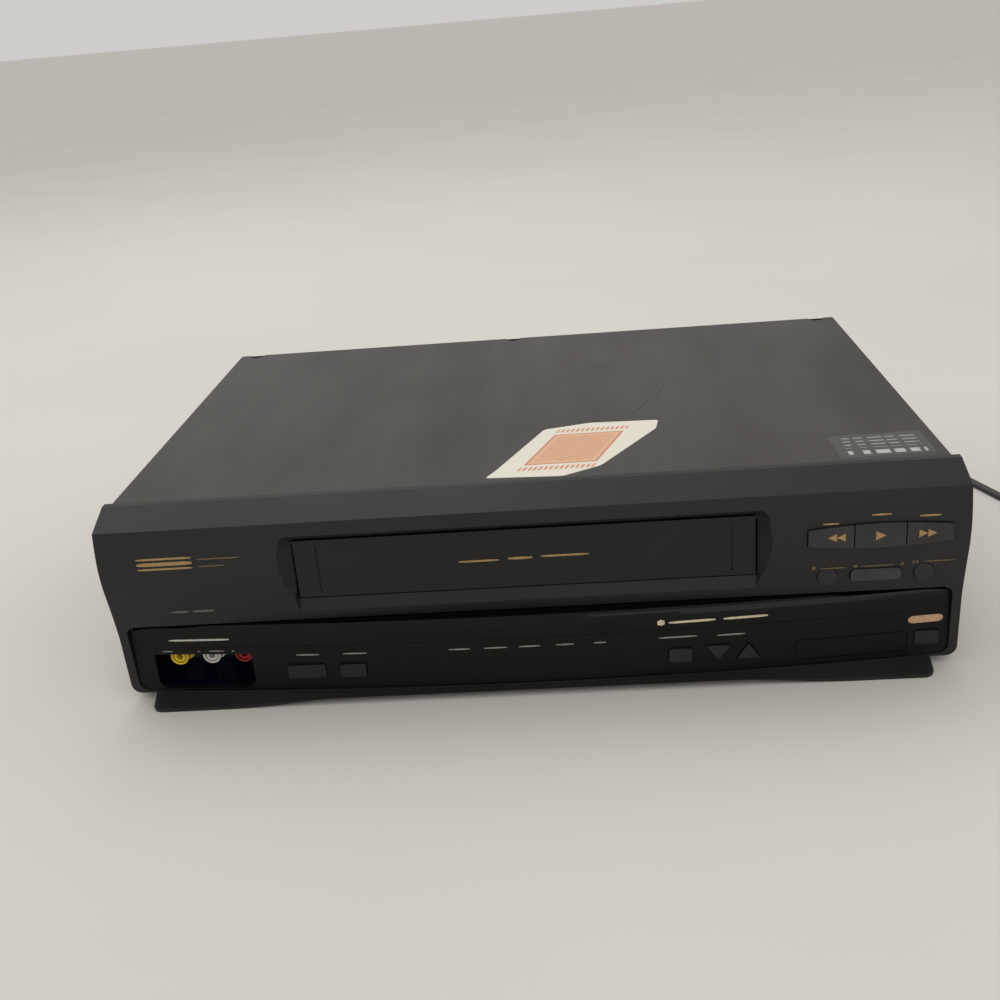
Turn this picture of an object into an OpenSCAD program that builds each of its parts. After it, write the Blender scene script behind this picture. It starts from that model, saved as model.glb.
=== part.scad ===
// Front-loading video cassette recorder, in millimetres.
// X runs to the right as seen from the front, Y from the front to the back, Z up from the table.
// The deck, with its tilted drum, tape guides and toothed drives, sits in a folded steel case
// behind a moulded bezel whose lower half bows forward.

/* [Casing] */
// Width of the front bezel
body_w = 380; // [376:1:400]
// Height from the table to the top of the cover
body_h = 95; // [94:0.5:102]
// Depth from the bezel's top front edge to the back of the cover
body_d = 264; // [262:1:290]
// Thickness of the steel cover
cover_t = 1; // [0.8:0.1:1.2]
// How far the bezel stands out past each side of the cover
bezel_step = 2.6; // [2:0.1:3.2]
// Depth of the bezel at its sides and top
bezel_d = 20; // [19:0.5:24]
// Wall of the bezel moulding
bezel_wall = 2.5; // [2:0.1:3]
// Radius of the bezel's lower corners
corner_r = 5; // [3:0.5:7]
// Height of the bezel's lower edge above the table
bezel_base = 4; // [3.6:0.1:4.6]
// Thickness of the chassis, rear panel and deck bracket steel
steel_t = 1.2; // [1:0.1:1.4]
// Diameter of each rear foot
foot_d = 18; // [14:1:24]

/* [Lower front] */
// Radius of the forward bow, seen from above
bow_r = 1950; // [1900:10:2600]
// How far the middle of the bow stands in front of the bezel's top edge
bow_y = 2.7; // [2.4:0.1:3.2]
// Width of each side rim beside the lower panel
panel_rim = 4; // [3:0.1:6]
// Top of the opening for the lower panel
panel_top = 39.9; // [38:0.1:42]
// Wall of the panel and window mouldings
panel_wall = 2.4; // [2:0.1:2.8]
// Height of the smoked window
window_h = 11.2; // [10:0.1:12]
// How far the window stands in front of the panel
window_proud = 1.8; // [1.2:0.1:2.4]
// How far the foot of the bezel stands forward of its top edge
skirt_y = 6.5; // [6:0.1:8]
// Rise of the arch between the two ends of the foot
arch_h = 3.2; // [2:0.1:3.4]

/* [Cassette slot] */
// Width of the cassette door
door_w = 203; // [202:0.5:206]
// Height of the cassette door
door_h = 27.7; // [27:0.1:29]
// Thickness of the cassette door
door_t = 2; // [1.8:0.1:2.4]
// Distance from the top of the cover down to the top of the door
door_drop = 16.5; // [16:0.1:17]
// Gap round the cassette door
door_gap = 0.8; // [0.5:0.1:1]

/* [Buttons] */
// Travel of every button
button_travel = 0.8; // [0.5:0.1:1]
// Gap between a button and the edge of its opening
button_gap = 0.35; // [0.25:0.05:0.5]
// Width of the row of three transport buttons
bar_w = 60.5; // [58:0.5:62]
// Height of the row at its middle
bar_h = 11.2; // [10:0.1:12]
// Height of the row at its two ends
bar_end_h = 7.4; // [6.5:0.1:8]
// Diameter of the two round buttons
round_d = 8.3; // [7:0.1:9]

/* [Tape deck] */
// Thickness of the deck plate
deck_t = 1.6; // [1.4:0.1:1.8]
// Height of the deck plate's top above the table, with a cover 95 high
deck_top_z = 25.6; // [25.4:0.1:26]
// Width of a tape cassette
cassette_w = 188; // [187:0.5:189]
// Thickness of a tape cassette
cassette_h = 25; // [24.5:0.1:25.4]
// Distance between the two reels
reel_spacing = 92; // [91:0.5:93]
// How far the cassette holder travels back
holder_travel = 66; // [60:1:66]
// How far the cassette holder then drops
holder_drop = 20; // [17:0.5:20]
// Diameter of the head drum
drum_d = 62; // [60:0.5:62]
// Tilt of the head drum, in degrees
drum_tilt = 6; // [4:0.5:7]
// Diameter of the capstan shaft
capstan_d = 4; // [3:0.5:5]
// Diameter of the pinch roller
pinch_d = 13; // [11:0.5:14]
// Running clearance between a shaft and its bore, on the radius
shaft_clear = 0.05; // [0.03:0.01:0.08]

/* [Gears] */
// Module of the reel and lift gears
gear_m = 0.8; // [0.76:0.01:0.82]
// Teeth on each reel
reel_teeth = 54; // [50:1:56]
// Teeth on the idler gear
idler_teeth = 30; // [26:1:32]
// Teeth on each lift pinion
pinion_teeth = 14; // [14:1:15]
// Module of the loading cam gear
cam_m = 0.7; // [0.66:0.01:0.72]
// Teeth on the loading cam gear
cam_teeth = 48; // [44:1:50]

/* [Electrics] */
// Thickness of every circuit board
board_t = 1.6; // [1.2:0.1:2]
// Diameter of a phono jack's barrel
jack_d = 8.3; // [8:0.1:9]
// Diameter of the hole in a phono jack
jack_bore = 3.2; // [3:0.1:3.6]
// Distance between the front jacks
jack_pitch = 15.4; // [14:0.1:16]
// Diameter of an antenna connector's thread
antenna_d = 9.5; // [9:0.1:9.8]

/* [Mains lead] */
// Width of the flat twin lead
lead_w = 5.4; // [5:0.1:5.6]
// Thickness of the flat twin lead
lead_t = 2.8; // [2.5:0.1:3.2]
// Loops in each layer of the coil
coil_loops = 3.5; // [2.5:1:3.5]
// Distance from one loop of the coil to the next
loop_pitch = 6; // [5.9:0.1:6.6]
// Inner radius of the coil
coil_r = 22; // [21.6:0.1:26]

/* [Hidden] */

$fn = 48;
seam = 0.3;                 // gap between two pieces of the casing that meet
small = 0.01;               // overshoot of a cut
half_w = body_w / 2;
cover_half = half_w - bezel_step;
lift = body_h - 95;         // what the upper front and the deck rise with a taller cover
rear_y = body_d - cover_t - 0.2;
rear_inner_y = rear_y - steel_t;
cover_base = bezel_base + 1.2;
chassis_z = cover_base;
board_z = chassis_z + steel_t + 4.6;
board_top = board_z + board_t;
front_board_y = bezel_d + 4;
antenna_l = 10;
// The origin lies under the middle of the box round the recorder, without its mains lead
shift_y = -(rear_y + antenna_l - skirt_y) / 2;

// Bezel
shoulder_y = 16.4;          // where the sloping top of the bezel meets its flat back
shoulder_drop = 6.2;        // fall of that slope
face_side_points = [
  [5.4, bezel_base], [5.2, 13], [4.6, 23], [4, 34], [2.4, 44 + lift / 4],
  [0.3, 54 + lift / 2], [-1.6, 63 + lift], [-2.3, 72 + lift],
  [-1.6, 80 + lift], [0, body_h - shoulder_drop]
];
bore_r = 1.2 + shaft_clear;
door_x = -1.1;              // middle of the slot, left of the bezel's middle as on the object
door_left = door_x - door_w / 2;
door_right = door_x + door_w / 2;
door_top = body_h - door_drop;
door_base = door_top - door_h;
door_y = 3.5;
door_pivot = [door_y + 1.5, door_top - 0.8];

// Lower front
panel_half = half_w - panel_rim;
panel_base = bezel_base + 1.3;
panel_corner = 4.6;
window_top = panel_top - seam;
window_base = window_top - window_h;
window_half = panel_half - 1.8;
recess_x = -half_w + 37.5;  // middle of the socket recess
recess_w = 47;
recess_base = panel_base + 1;
recess_top = window_base - 4.1;
recess_back = bezel_d - 1;
jack_x = recess_x + 2.3;    // the middle jack
jack_z = recess_top - 3.9;
switch_z = 15;

// Deck
cx = door_x;
deck_top = deck_top_z + lift;
deck_base = deck_top - deck_t;
holder_half = cassette_w / 2 + 1.4;
holder_t = 1.2;
holder_y = 36;
holder_d = 50;
holder_base = door_base - 0.4;
tray_floor = holder_base + 1;
holder_roof = tray_floor + cassette_h + 1.2;
slide_inner = holder_half + holder_t + seam;
slide_t = 2;
bracket_inner = slide_inner + slide_t + seam;
deck_half = bracket_inner + steel_t + 3.6;
pillar_x = deck_half + 3;
slide_base = deck_top + 20.4;
slide_l = 124;
pin_r = 1.5;
press_gap = 0.1;            // drawn between a pin or shaft and what is pressed on it
pin_z = holder_roof - 7.6;
pin_ys = [holder_y + 8, holder_y + holder_d - 6];
gear_add = 0.75 * gear_m;   // stub teeth: height over the pitch circle
gear_ded = 1.05 * gear_m;   // depth under the pitch circle
gear_slack = 0.07;          // taken off each flank
rack_z = slide_base + 30.4; // pitch line of the rack on each slide
pinion_r = gear_m * pinion_teeth / 2;
shaft_y = 150;
shaft_z = rack_z + pinion_r;
shaft_r = 2;
reel_y = 78;
reel_r = gear_m * reel_teeth / 2;
gear_plane = deck_top + 2.4;
gear_t = 3;
reel_x = reel_spacing / 2;
idler_r = gear_m * idler_teeth / 2;
idler_angle = 153;          // direction from the take-up reel to the idler
idler_at = [reel_x, reel_y] + (reel_r + idler_r) * [cos(idler_angle), sin(idler_angle)];
drum_y = 184;
drum_r = drum_d / 2;
capstan_at = [52, 130];
pulley_r = 5;
idler_pulley_r = 10;
belt_z = deck_base - 3.8;
belt_h = 2;
pinch_pivot = [76, 152];
pinch_arm = 24.24;
pinch_rest = 170;           // direction of the resting arm
cam_at = [-72, 182];
cam_r = cam_m * cam_teeth / 2;
worm_r = 3;                 // middle radius of the worm's thread
worm_throw = 0.7;           // half of the thread's height
worm_lead = PI * cam_m;
worm_turns = 6;
worm_at = [cam_at[0] - cam_r - worm_r - 0.35, cam_at[1]];
worm_z = deck_top + 9.5;
guide_start = [28, 118];    // resting place of the take-up guide; the supply guide mirrors it
guide_end = [44, 190];
guide_angle = atan2(guide_end[0] - guide_start[0], guide_end[1] - guide_start[1]);
tension_pivot = [-66, 128];

// Electrics and rear
rear_jack_pitch = 18;
rear_jack_z = [28, 46];
tuner_x = -cover_half + 22;
rear_jack_x = tuner_x + 65.4;
tuner_z = [28, 50];
lead_x = half_w - 42;
lead_z = 30;

// Mains lead: the route of the stretch that isn't coiled, behind and beside the recorder
relief_l = 24;
lead_start = [lead_x, rear_y + relief_l, lead_z];
lead_points = [
  lead_start, lead_start + [0, 8, 0], [149, 306, 28], [154, 315, 22], [161, 323, 14],
  [172, 329, 6], [186, 329, lead_t / 2], [200, 322, lead_t / 2], [213, 309, lead_t / 2],
  [225, 291, lead_t / 2], [237, 268, lead_t / 2], [249, 241, lead_t / 2],
  [259, 215, lead_t / 2], [268, 190, lead_t / 2], [276.5, 168, lead_t / 2],
  [284, 153, lead_t / 2], [287, 142, lead_t / 2]
];

// ---------------------------------------------------------------- helpers

// Everything is drawn from the bezel's top front edge and moved onto the shared origin
module at() {
  translate([0, shift_y, 0]) children();
}

module block(x0, x1, y0, y1, z0, z1) {
  translate([x0, y0, z0]) cube([x1 - x0, y1 - y0, z1 - z0]);
}

// A front view, drawn in X and Z, drawn out from y0 back to y1
module along_y(y0, y1) {
  translate([0, y1, 0]) rotate([90, 0, 0]) linear_extrude(y1 - y0) children();
}

// A side view, drawn in Y and Z, drawn out from x0 to x1
module along_x(x0, x1) {
  translate([x0, 0, 0]) rotate([90, 0, 90]) linear_extrude(x1 - x0) children();
}

module rounded(x0, x1, z0, z1, r) {
  translate([x0 + r, z0]) square([x1 - x0 - 2 * r, z1 - z0]);
  translate([x0, z0 + r]) square([x1 - x0, z1 - z0 - 2 * r]);
  for (x = [x0 + r, x1 - r], z = [z0 + r, z1 - r]) {
    translate([x, z]) circle(r);
  }
}

module post(x, y, z0, z1, r) {
  translate([x, y, z0]) cylinder(h = z1 - z0, r = r);
}

module rod_y(x, z, y0, y1, r) {
  translate([x, y0, z]) rotate([-90, 0, 0]) cylinder(h = y1 - y0, r = r);
}

module rod_x(y, z, x0, x1, r) {
  translate([x0, y, z]) rotate([0, 90, 0]) cylinder(h = x1 - x0, r = r);
}

// A smooth curve through points, with a number of steps from each to the next
function smooth(p, steps) = [
  for (i = [0 : len(p) - 2], k = [0 : steps - 1])
    let (
      t = k / steps,
      a = p[max(i - 1, 0)],
      b = p[i],
      c = p[i + 1],
      d = p[min(i + 2, len(p) - 1)]
    )
    b + t * (c - a) / 2 + t * t * (2 * a - 5 * b + 4 * c - d) / 2
      + t * t * t * (3 * b - a - 3 * c + d) / 2,
  p[len(p) - 1]
];

function arc(centre, r, from, to, steps) = [
  for (i = [0 : steps])
    centre + r * [cos(from + (to - from) * i / steps), sin(from + (to - from) * i / steps)]
];

// ---------------------------------------------------------------- bezel geometry

face = smooth(face_side_points, 3);
face_table = [for (p = face) [p[1], p[0]]];

// Where the bezel's face lies at a height
function face_y(z) = lookup(z, face_table);

// How far the bow falls back at a distance from the middle
function bow(x) = bow_r - sqrt(bow_r * bow_r - x * x);

// Where the lower panel's face lies
function panel_y(x) = bow(x) - bow_y;

// A ring sector concentric with the bow, from one depth behind the panel's face to another
module bowed(front, back, z0, z1) {
  bow_sweep() translate([bow_r - back, z0]) square([back - front, z1 - z0]);
}

module bow_sweep() {
  spread = 7;
  translate([0, bow_r - bow_y, 0]) rotate([0, 0, -90 - spread])
    rotate_extrude(angle = 2 * spread, $fn = 720) children();
}

module side_profile() {
  polygon(concat(face, [[shoulder_y, body_h], [bezel_d, body_h], [bezel_d, bezel_base]]));
}

module inner_profile() {
  back = bezel_d + 10;
  top = body_h - bezel_wall;
  polygon(concat(
    [[back, bezel_base + bezel_wall], [face[0][0] + bezel_wall, bezel_base + bezel_wall]],
    [for (p = face) if (p[1] > bezel_base + bezel_wall + 1) [p[0] + bezel_wall, p[1] - 0.6]],
    [[shoulder_y, top], [back, top]]
  ));
}

module bezel_front_view(inset) {
  r = corner_r - inset;
  left = -half_w + inset;
  base = bezel_base + inset;
  translate([left, base + r]) square([2 * (half_w - inset), body_h - base - r - inset]);
  translate([left + r, base]) square([2 * (half_w - inset - r), r + small]);
  for (side = [-1, 1]) {
    translate([side * (half_w - inset - r), base + r]) circle(r);
  }
}

// The foot: its lower edge touches the table at both ends and arches between them
foot_flat = 142;            // where the arch starts, from the middle
foot_rise = 54;             // how far the arch takes to reach its height
foot_half = half_w - 12;
foot_corner = 5;
foot_ledge = 0.4;           // how far the top of the foot stands in front of the panel

function foot_base(x) =
  let (t = min(max((foot_flat - abs(x)) / foot_rise, 0), 1)) arch_h * t * t * (3 - 2 * t);

function foot_front(x) =
  let (over = max(abs(x) - foot_half + foot_corner, 0))
    -skirt_y + foot_corner - sqrt(max(foot_corner * foot_corner - over * over, 0));

function foot_section(x) = [
  [x, panel_y(x) - foot_ledge, panel_base - seam],
  [x, panel_y(x) - foot_ledge, bezel_base + 0.5],
  [x, foot_front(x), 1.8 + foot_base(x) * 0.55],
  [x, foot_front(x) + 0.3, foot_base(x)],
  [x, bezel_d - 8, foot_base(x)],
  [x, bezel_d - 8, panel_base - seam]
];

module foot() {
  bend = [for (a = [90 : -18 : 0]) foot_half - foot_corner * (1 - cos(a))];
  straight = foot_half - foot_corner;
  steps = 42;
  xs = concat(
    [for (i = [len(bend) - 1 : -1 : 1]) -bend[i]],
    [for (i = [0 : steps]) -straight + 2 * straight * i / steps],
    [for (i = [1 : len(bend) - 1]) bend[i]]
  );
  loft([for (x = xs) foot_section(x)]);
}

// A closed skin over a row of outlines that have the same number of points
module loft(rows) {
  n = len(rows[0]);
  m = len(rows);
  points = [for (row = rows) each row];
  sides = [
    for (i = [0 : m - 2], k = [0 : n - 1])
      let (a = i * n + k, b = i * n + (k + 1) % n)
        each [[a, b + n, b], [a, a + n, b + n]]
  ];
  caps = [[for (k = [0 : n - 1]) k], [for (k = [n - 1 : -1 : 0]) (m - 1) * n + k]];
  polyhedron(points = points, faces = concat(sides, caps), convexity = 4);
}

// ---------------------------------------------------------------- buttons

bar_x = half_w - 7.8 - bar_w / 2;
bar_z = 69.2 + lift;
bar_split = bar_w * 0.18;   // half of the middle button's width

function bar_half_h(x) =
  let (t = (x - bar_x) / (bar_w / 2)) (bar_end_h + (bar_h - bar_end_h) * (1 - t * t)) / 2;

// One stretch of the spindle-shaped row, from x0 to x1, grown all round
module bar_outline(x0, x1, grow) {
  steps = 8;
  xs = [for (i = [0 : steps]) x0 + (x1 - x0) * i / steps];
  polygon(concat(
    [for (x = xs) [x + (x == x0 ? -grow : x == x1 ? grow : 0), bar_z + bar_half_h(x) + grow]],
    [for (i = [steps : -1 : 0])
      let (x = xs[i])
        [x + (i == 0 ? -grow : i == steps ? grow : 0), bar_z - bar_half_h(x) - grow]]
  ));
}

lower_z = 49 + lift / 2;
record_x = half_w - 59.1;
pause_x = half_w - 17.9;
stop_x = half_w - 38.4;
stop_w = 21.6;
stop_h = 5.6;
power_x = -half_w + 86.3;
power_w = 17.5;
source_x = -half_w + 108;
source_w = 12;
key_h = 6.6;
speed_x = half_w - 123.6;
speed_w = 10.4;
down_x = half_w - 106.8;
up_x = half_w - 93.4;
arrow_w = 10.4;
arrow_h = 7.4;
return_x = half_w - 14;
return_w = 10.4;
return_z = 14.4;

module key_outline(x, w, grow) {
  rounded(x - w / 2 - grow, x + w / 2 + grow, switch_z - key_h / 2 - grow,
    switch_z + key_h / 2 + grow, 1.2 + grow);
}

module arrow_outline(x, way, grow) {
  side = 1.7 * grow;
  polygon([
    [x - arrow_w / 2 - side, switch_z - way * (arrow_h / 2 + grow)],
    [x + arrow_w / 2 + side, switch_z - way * (arrow_h / 2 + grow)],
    [x + side * 0.4, switch_z + way * (arrow_h / 2 + grow)],
    [x - side * 0.4, switch_z + way * (arrow_h / 2 + grow)]
  ]);
}

module return_outline(grow) {
  rounded(return_x - return_w / 2 - grow, return_x + return_w / 2 + grow,
    return_z - key_h / 2 - grow, return_z + key_h / 2 + grow, 1 + grow);
}

module stop_outline(grow) {
  rounded(stop_x - stop_w / 2 - grow, stop_x + stop_w / 2 + grow,
    lower_z - stop_h / 2 - grow, lower_z + stop_h / 2 + grow, 1.8 + grow);
}

module round_outline(x, grow) {
  translate([x, lower_z]) circle(round_d / 2 + grow);
}

// Places of the twelve switches on the front board
switch_places = [
  [power_x, switch_z], [source_x, switch_z], [speed_x, switch_z], [down_x, switch_z],
  [up_x, switch_z], [return_x, return_z],
  [bar_x - bar_w * 0.34, bar_z], [bar_x, bar_z], [bar_x + bar_w * 0.34, bar_z],
  [record_x, lower_z], [stop_x, lower_z], [pause_x, lower_z]
];
switch_front = front_board_y - 4.5;

// The shank of a button, with the shoulder that keeps it behind the wall
module shank(place, wall_y, shoulder_w, shoulder_h) {
  block(place[0] - shoulder_w / 2, place[0] + shoulder_w / 2, wall_y, wall_y + 1.2,
    place[1] - shoulder_h / 2, place[1] + shoulder_h / 2);
  rod_y(place[0], place[1], wall_y, switch_front - button_travel - 0.1, 1.8);
}

function panel_back(x) = panel_y(x) + panel_wall + 0.7;
function bezel_back(z) = face_y(z) + bezel_wall + 0.9;

// ---------------------------------------------------------------- gears

function involute(base, r) =
  let (a = acos(min(base / r, 1))) tan(a) * 180 / PI - a;

// Outline of a gear with 20 degree involute flanks and a tooth at angle 0
function gear_points(n, m, add, ded, slack) =
  let (
    pitch = n * m / 2,
    base = pitch * cos(20),
    half = 90 / n - slack / pitch * 180 / PI,
    radii = [pitch - ded, pitch, pitch + add / 2, pitch + add],
    turns = [for (r = radii) half + involute(base, pitch) - involute(base, max(r, base))]
  )
  [
    for (i = [0 : n - 1]) each concat(
      [for (k = [0 : 3])
        radii[k] * [cos(i * 360 / n - turns[k]), sin(i * 360 / n - turns[k])]],
      [for (k = [3 : -1 : 0])
        radii[k] * [cos(i * 360 / n + turns[k]), sin(i * 360 / n + turns[k])]]
    )
  ];

module gear(n, m, add, ded, t) {
  linear_extrude(t) polygon(gear_points(n, m, add, ded, gear_slack));
}

module deck_gear(n, t) {
  gear(n, gear_m, gear_add, gear_ded, t);
}

// ---------------------------------------------------------------- casing

// Folded cover: a top and two sides in one sheet, and a narrow fold down the back
notch_xs = [-cover_half + 11.4, -12, cover_half - 11.4];

module top_cover() {
  fold_r = 1.6;
  fold_h = 14;
  color([0.33, 0.32, 0.31]) at() difference() {
    union() {
      difference() {
        along_y(bezel_d, body_d) cover_section(0, fold_r);
        along_y(bezel_d - 1, body_d - cover_t) cover_section(cover_t, fold_r - cover_t + 0.4);
        block(-cover_half - 1, cover_half + 1, body_d - cover_t - small, body_d + 1,
          0, body_h - fold_h);
      }
      for (side = [-1, 1]) {
        block(side * (cover_half - 6) - 6, side * (cover_half - 6) + 6,
          body_d - cover_t, body_d, cover_base + 8, body_h - fold_h + 1);
      }
    }
    for (x = notch_xs) {
      post(x, body_d - cover_t, body_h - 3, body_h + 1, 4.5);
      block(x - 4.5, x + 4.5, body_d - cover_t - 1, body_d + 1, body_h - 3, body_h + 1);
      rod_y(x, body_h - 8, body_d - 3, body_d + 1, 1.7);
    }
    for (side = [-1, 1], y = [bezel_d + 70, body_d - 40]) {
      rod_x(y, screw_z, side * cover_half - 3, side * cover_half + 3, 1.7);
    }
    side_vents();
  }
}

screw_z = cover_base + 7;

module cover_section(inset, r) {
  half = cover_half - inset;
  top = body_h - inset;
  base = cover_base - (inset > 0 ? 1 : 0);
  translate([-half, base]) square([2 * half, top - r - base]);
  translate([-half + r, base]) square([2 * (half - r), top - base]);
  for (side = [-1, 1]) {
    translate([side * (half - r), top - r]) circle(r);
  }
}

// Slots beside the power board, and a shorter row on the other side
module side_vents() {
  slot_w = 2.4;
  pitch = 7;
  for (side = [-1, 1], i = [0 : side > 0 ? 13 : 7]) {
    y = body_d - 62 - i * pitch;
    block(side * cover_half - 3, side * cover_half + 3, y, y + slot_w, 40, 62);
  }
}

module front_bezel() {
  lip_half = cover_half - cover_t - seam;
  lip_top = body_h - cover_t - seam;
  lip_t = 1.5;
  lip_l = 5;
  color([0.19, 0.2, 0.21]) at() difference() {
    union() {
      difference() {
        intersection() {
          along_x(-half_w, half_w) side_profile();
          along_y(-12, bezel_d) bezel_front_view(0);
        }
        intersection() {
          along_x(-half_w + bezel_wall, half_w - bezel_wall) inner_profile();
          along_y(-12, bezel_d + 11) bezel_front_view(bezel_wall);
        }
      }
      door_surround();
      foot();
      block(-lip_half, lip_half, bezel_d - 3, bezel_d + lip_l, lip_top - lip_t, lip_top);
      for (side = [-1, 1]) mirror([side < 0 ? 1 : 0, 0, 0]) {
        block(lip_half - lip_t, lip_half, bezel_d - 3, bezel_d + lip_l, 18, lip_top);
        block(lip_half - lip_t, half_w - 1, bezel_d - 3, bezel_d, 18, lip_top);
      }
    }
    door_recess();
    along_y(-12, bezel_d - 4)
      bar_outline(bar_x - bar_w / 2, bar_x + bar_w / 2, button_gap);
    along_y(-12, bezel_d - 4) {
      round_outline(record_x, button_gap);
      round_outline(pause_x, button_gap);
      stop_outline(button_gap);
    }
    along_y(-20, bezel_d - 4.6)
      rounded(-panel_half, panel_half, panel_base, panel_top, panel_corner);
    block(recess_x - recess_w / 2 - 2, recess_x + recess_w / 2 + 2, 0, bezel_d + 1,
      panel_base, window_base);
  }
}

// The thick frame of the slot, with a blind bore at each end of the door's hinge
module door_surround() {
  edge = 10;
  intersection() {
    along_x(door_left - edge, door_right + edge) side_profile();
    block(door_left - edge, door_right + edge, -10, door_y + 5, door_base - 9, door_top + 7.4);
  }
}

// The slot with the flared recess round it, deepest along the top
module door_recess() {
  front_y = -8;
  back_y = door_y + 0.6;
  w = door_w / 2;
  h = door_h / 2;
  gap = door_gap;
  // Each corner of one half, from below upwards: across and up at the front, then at the back
  corners = [
    [w - 2, -h - 36, w + gap - 0.2, -h - gap], [w + 3, -h - 8, w + gap - 0.05, -h - gap + 1],
    [w + 11, -h + 8, w + gap, -h + 6], [w + 11.5, h - 10, w + gap, h - 8],
    [w + 9.8, h + 3, w + gap - 0.05, h + gap - 1],
    [w + 8, h + 6.8, w + gap - 0.3, h + gap - 0.3], [w + 5, h + 8.8, w + gap - 1, h + gap]
  ];
  last = len(corners) - 1;
  ends = [[front_y, 0], [back_y, 2], [bezel_d + 11, 2]];
  translate([door_x, 0, (door_top + door_base) / 2]) loft([
    for (e = ends) concat(
      [for (i = [0 : last]) [-corners[i][e[1]], e[0], corners[i][e[1] + 1]]],
      [for (i = [last : -1 : 0]) [corners[i][e[1]], e[0], corners[i][e[1] + 1]]]
    )
  ]);
  for (side = [-1, 1]) {
    inner = door_x + side * (w - 1);
    outer = door_x + side * (w + gap + 4.4);
    rod_x(door_pivot[0], door_pivot[1], min(inner, outer), max(inner, outer), bore_r);
  }
}

// Matte lower panel: a bowed face with a rim, the socket recess and the button openings
module control_panel() {
  color([0.16, 0.17, 0.18]) at() difference() {
    union() {
      intersection() {
        bowed(0, panel_wall, 0, body_h);
        along_y(-20, 40) panel_outline(0);
      }
      intersection() {
        bowed(0, 8, 0, body_h);
        along_y(-20, 40) difference() {
          panel_outline(0);
          panel_outline(panel_wall);
        }
      }
      intersection() {
        bowed(0, 40, 0, body_h);
        block(recess_x - recess_w / 2 - 1.5, recess_x + recess_w / 2 + 1.5,
          -10, recess_back, panel_base + seam, window_base - seam);
      }
    }
    along_y(-20, 40) window_outline(seam);
    intersection() {
      along_y(-20, recess_back - 1.5) recess_outline();
      along_x(-half_w, 0) polygon([
        [-20, recess_base], [recess_back - 9, recess_base],
        [recess_back - 1.5, recess_base + 5], [recess_back - 1.5, body_h],
        [-20, body_h]
      ]);
    }
    for (i = [-1, 0, 1]) {
      rod_y(jack_x + i * jack_pitch, jack_z, recess_back - 3, recess_back + 1,
        jack_d / 2 + 0.1);
      rod_y(jack_x + i * jack_pitch, jack_z, recess_back - 10.4, recess_back - 1.5,
        jack_d / 2 + 0.25);
      rod_y(jack_x + i * jack_pitch, jack_z, recess_back - 2.8, recess_back - 1.5,
        jack_d / 2 + 1.8);
    }
    along_y(-20, 16) {
      key_outline(power_x, power_w, button_gap);
      key_outline(source_x, source_w, button_gap);
      key_outline(speed_x, speed_w, button_gap);
      arrow_outline(down_x, -1, button_gap);
      arrow_outline(up_x, 1, button_gap);
      return_outline(button_gap);
    }
    // A shallow groove outlines the plain sensor field
    intersection() {
      bowed(-1, 0.4, 0, body_h);
      along_y(-20, 16) difference() {
        rounded(half_w - 72.5, half_w - 22.5, 8, 18.3, 1.6);
        rounded(half_w - 71.9, half_w - 23.1, 8.6, 17.7, 1.2);
      }
    }
  }
}

// The socket recess as seen from the front: square above, with rounded lower corners
module recess_outline() {
  half = recess_w / 2;
  corner = 5;
  translate([recess_x, 0]) polygon(concat(
    [[half, recess_top], [-half, recess_top]],
    arc([corner - half, recess_base + corner], corner, 180, 270, 6),
    arc([half - corner, recess_base + corner], corner, 270, 360, 6)
  ));
}

module panel_outline(inset) {
  rounded(-panel_half + seam + inset, panel_half - seam - inset,
    panel_base + seam + inset, window_top - inset, panel_corner - seam - inset / 2);
}

// The window's upper edge runs straight to a point at each end, and its lower edge curves up to it
module window_outline(grow) {
  tip = smooth([[0, 0], [1.8, -3.2], [4.8, -6.8], [9, -9.8], [15, -window_h]], 3);
  stretch = (window_h + 2 * grow) / window_h;
  half = window_half + grow;
  polygon(concat(
    [for (p = tip) [-half + p[0], window_top + grow + p[1] * stretch]],
    [for (i = [len(tip) - 1 : -1 : 0])
      [half - tip[i][0], window_top + grow + tip[i][1] * stretch]]
  ));
}

module display_window() {
  brow_r = 4.5;
  lip_r = 1.2;
  back = 8;
  outline = concat(
    [[back, window_top]],
    arc([brow_r - window_proud, window_top - brow_r], brow_r, 90, 180, 6),
    arc([lip_r - window_proud, window_base + lip_r], lip_r, 180, 270, 3),
    [[back, window_base]]
  );
  color([0.03, 0.03, 0.05]) at() difference() {
    intersection() {
      bow_sweep() polygon([for (p = outline) [bow_r - p[0], p[1]]]);
      along_y(-20, 40) window_outline(0);
    }
    intersection() {
      bowed(panel_wall - window_proud, 20, 0, body_h);
      along_y(-20, 40) window_outline(-panel_wall);
    }
  }
}

module cassette_door() {
  pin_l = 4;
  groove_in = 9.9;
  color([0.17, 0.18, 0.19]) at() {
    difference() {
      block(door_left, door_right, door_y, door_y + door_t, door_base, door_top);
      for (x = [door_left + groove_in, door_right - groove_in - 0.9]) {
        block(x, x + 0.9, door_y - 1, door_y + 0.6, door_base + 2.4, door_top - 2.4);
      }
    }
    for (side = [-1, 1]) {
      inner = door_x + side * (door_w / 2 - 1);
      outer = door_x + side * (door_w / 2 + door_gap + pin_l);
      rod_x(door_pivot[0], door_pivot[1], min(inner, outer), max(inner, outer), 1.2);
      ear = door_x + side * (door_w / 2 - 1);
      block(ear - 1, ear + 1, door_y + door_t - small, door_y + door_t + 3,
        door_base + 1.5, door_top - 6);
    }
    // A stiffening rib along the back
    block(door_left + 6, door_right - 6, door_y + door_t - small, door_y + door_t + 1.5,
      door_base + 2, door_base + 3.2);
  }
}

// ---------------------------------------------------------------- chassis

pillar_ys = [50, 210];
relief_at = [lead_x, lead_z];

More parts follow.
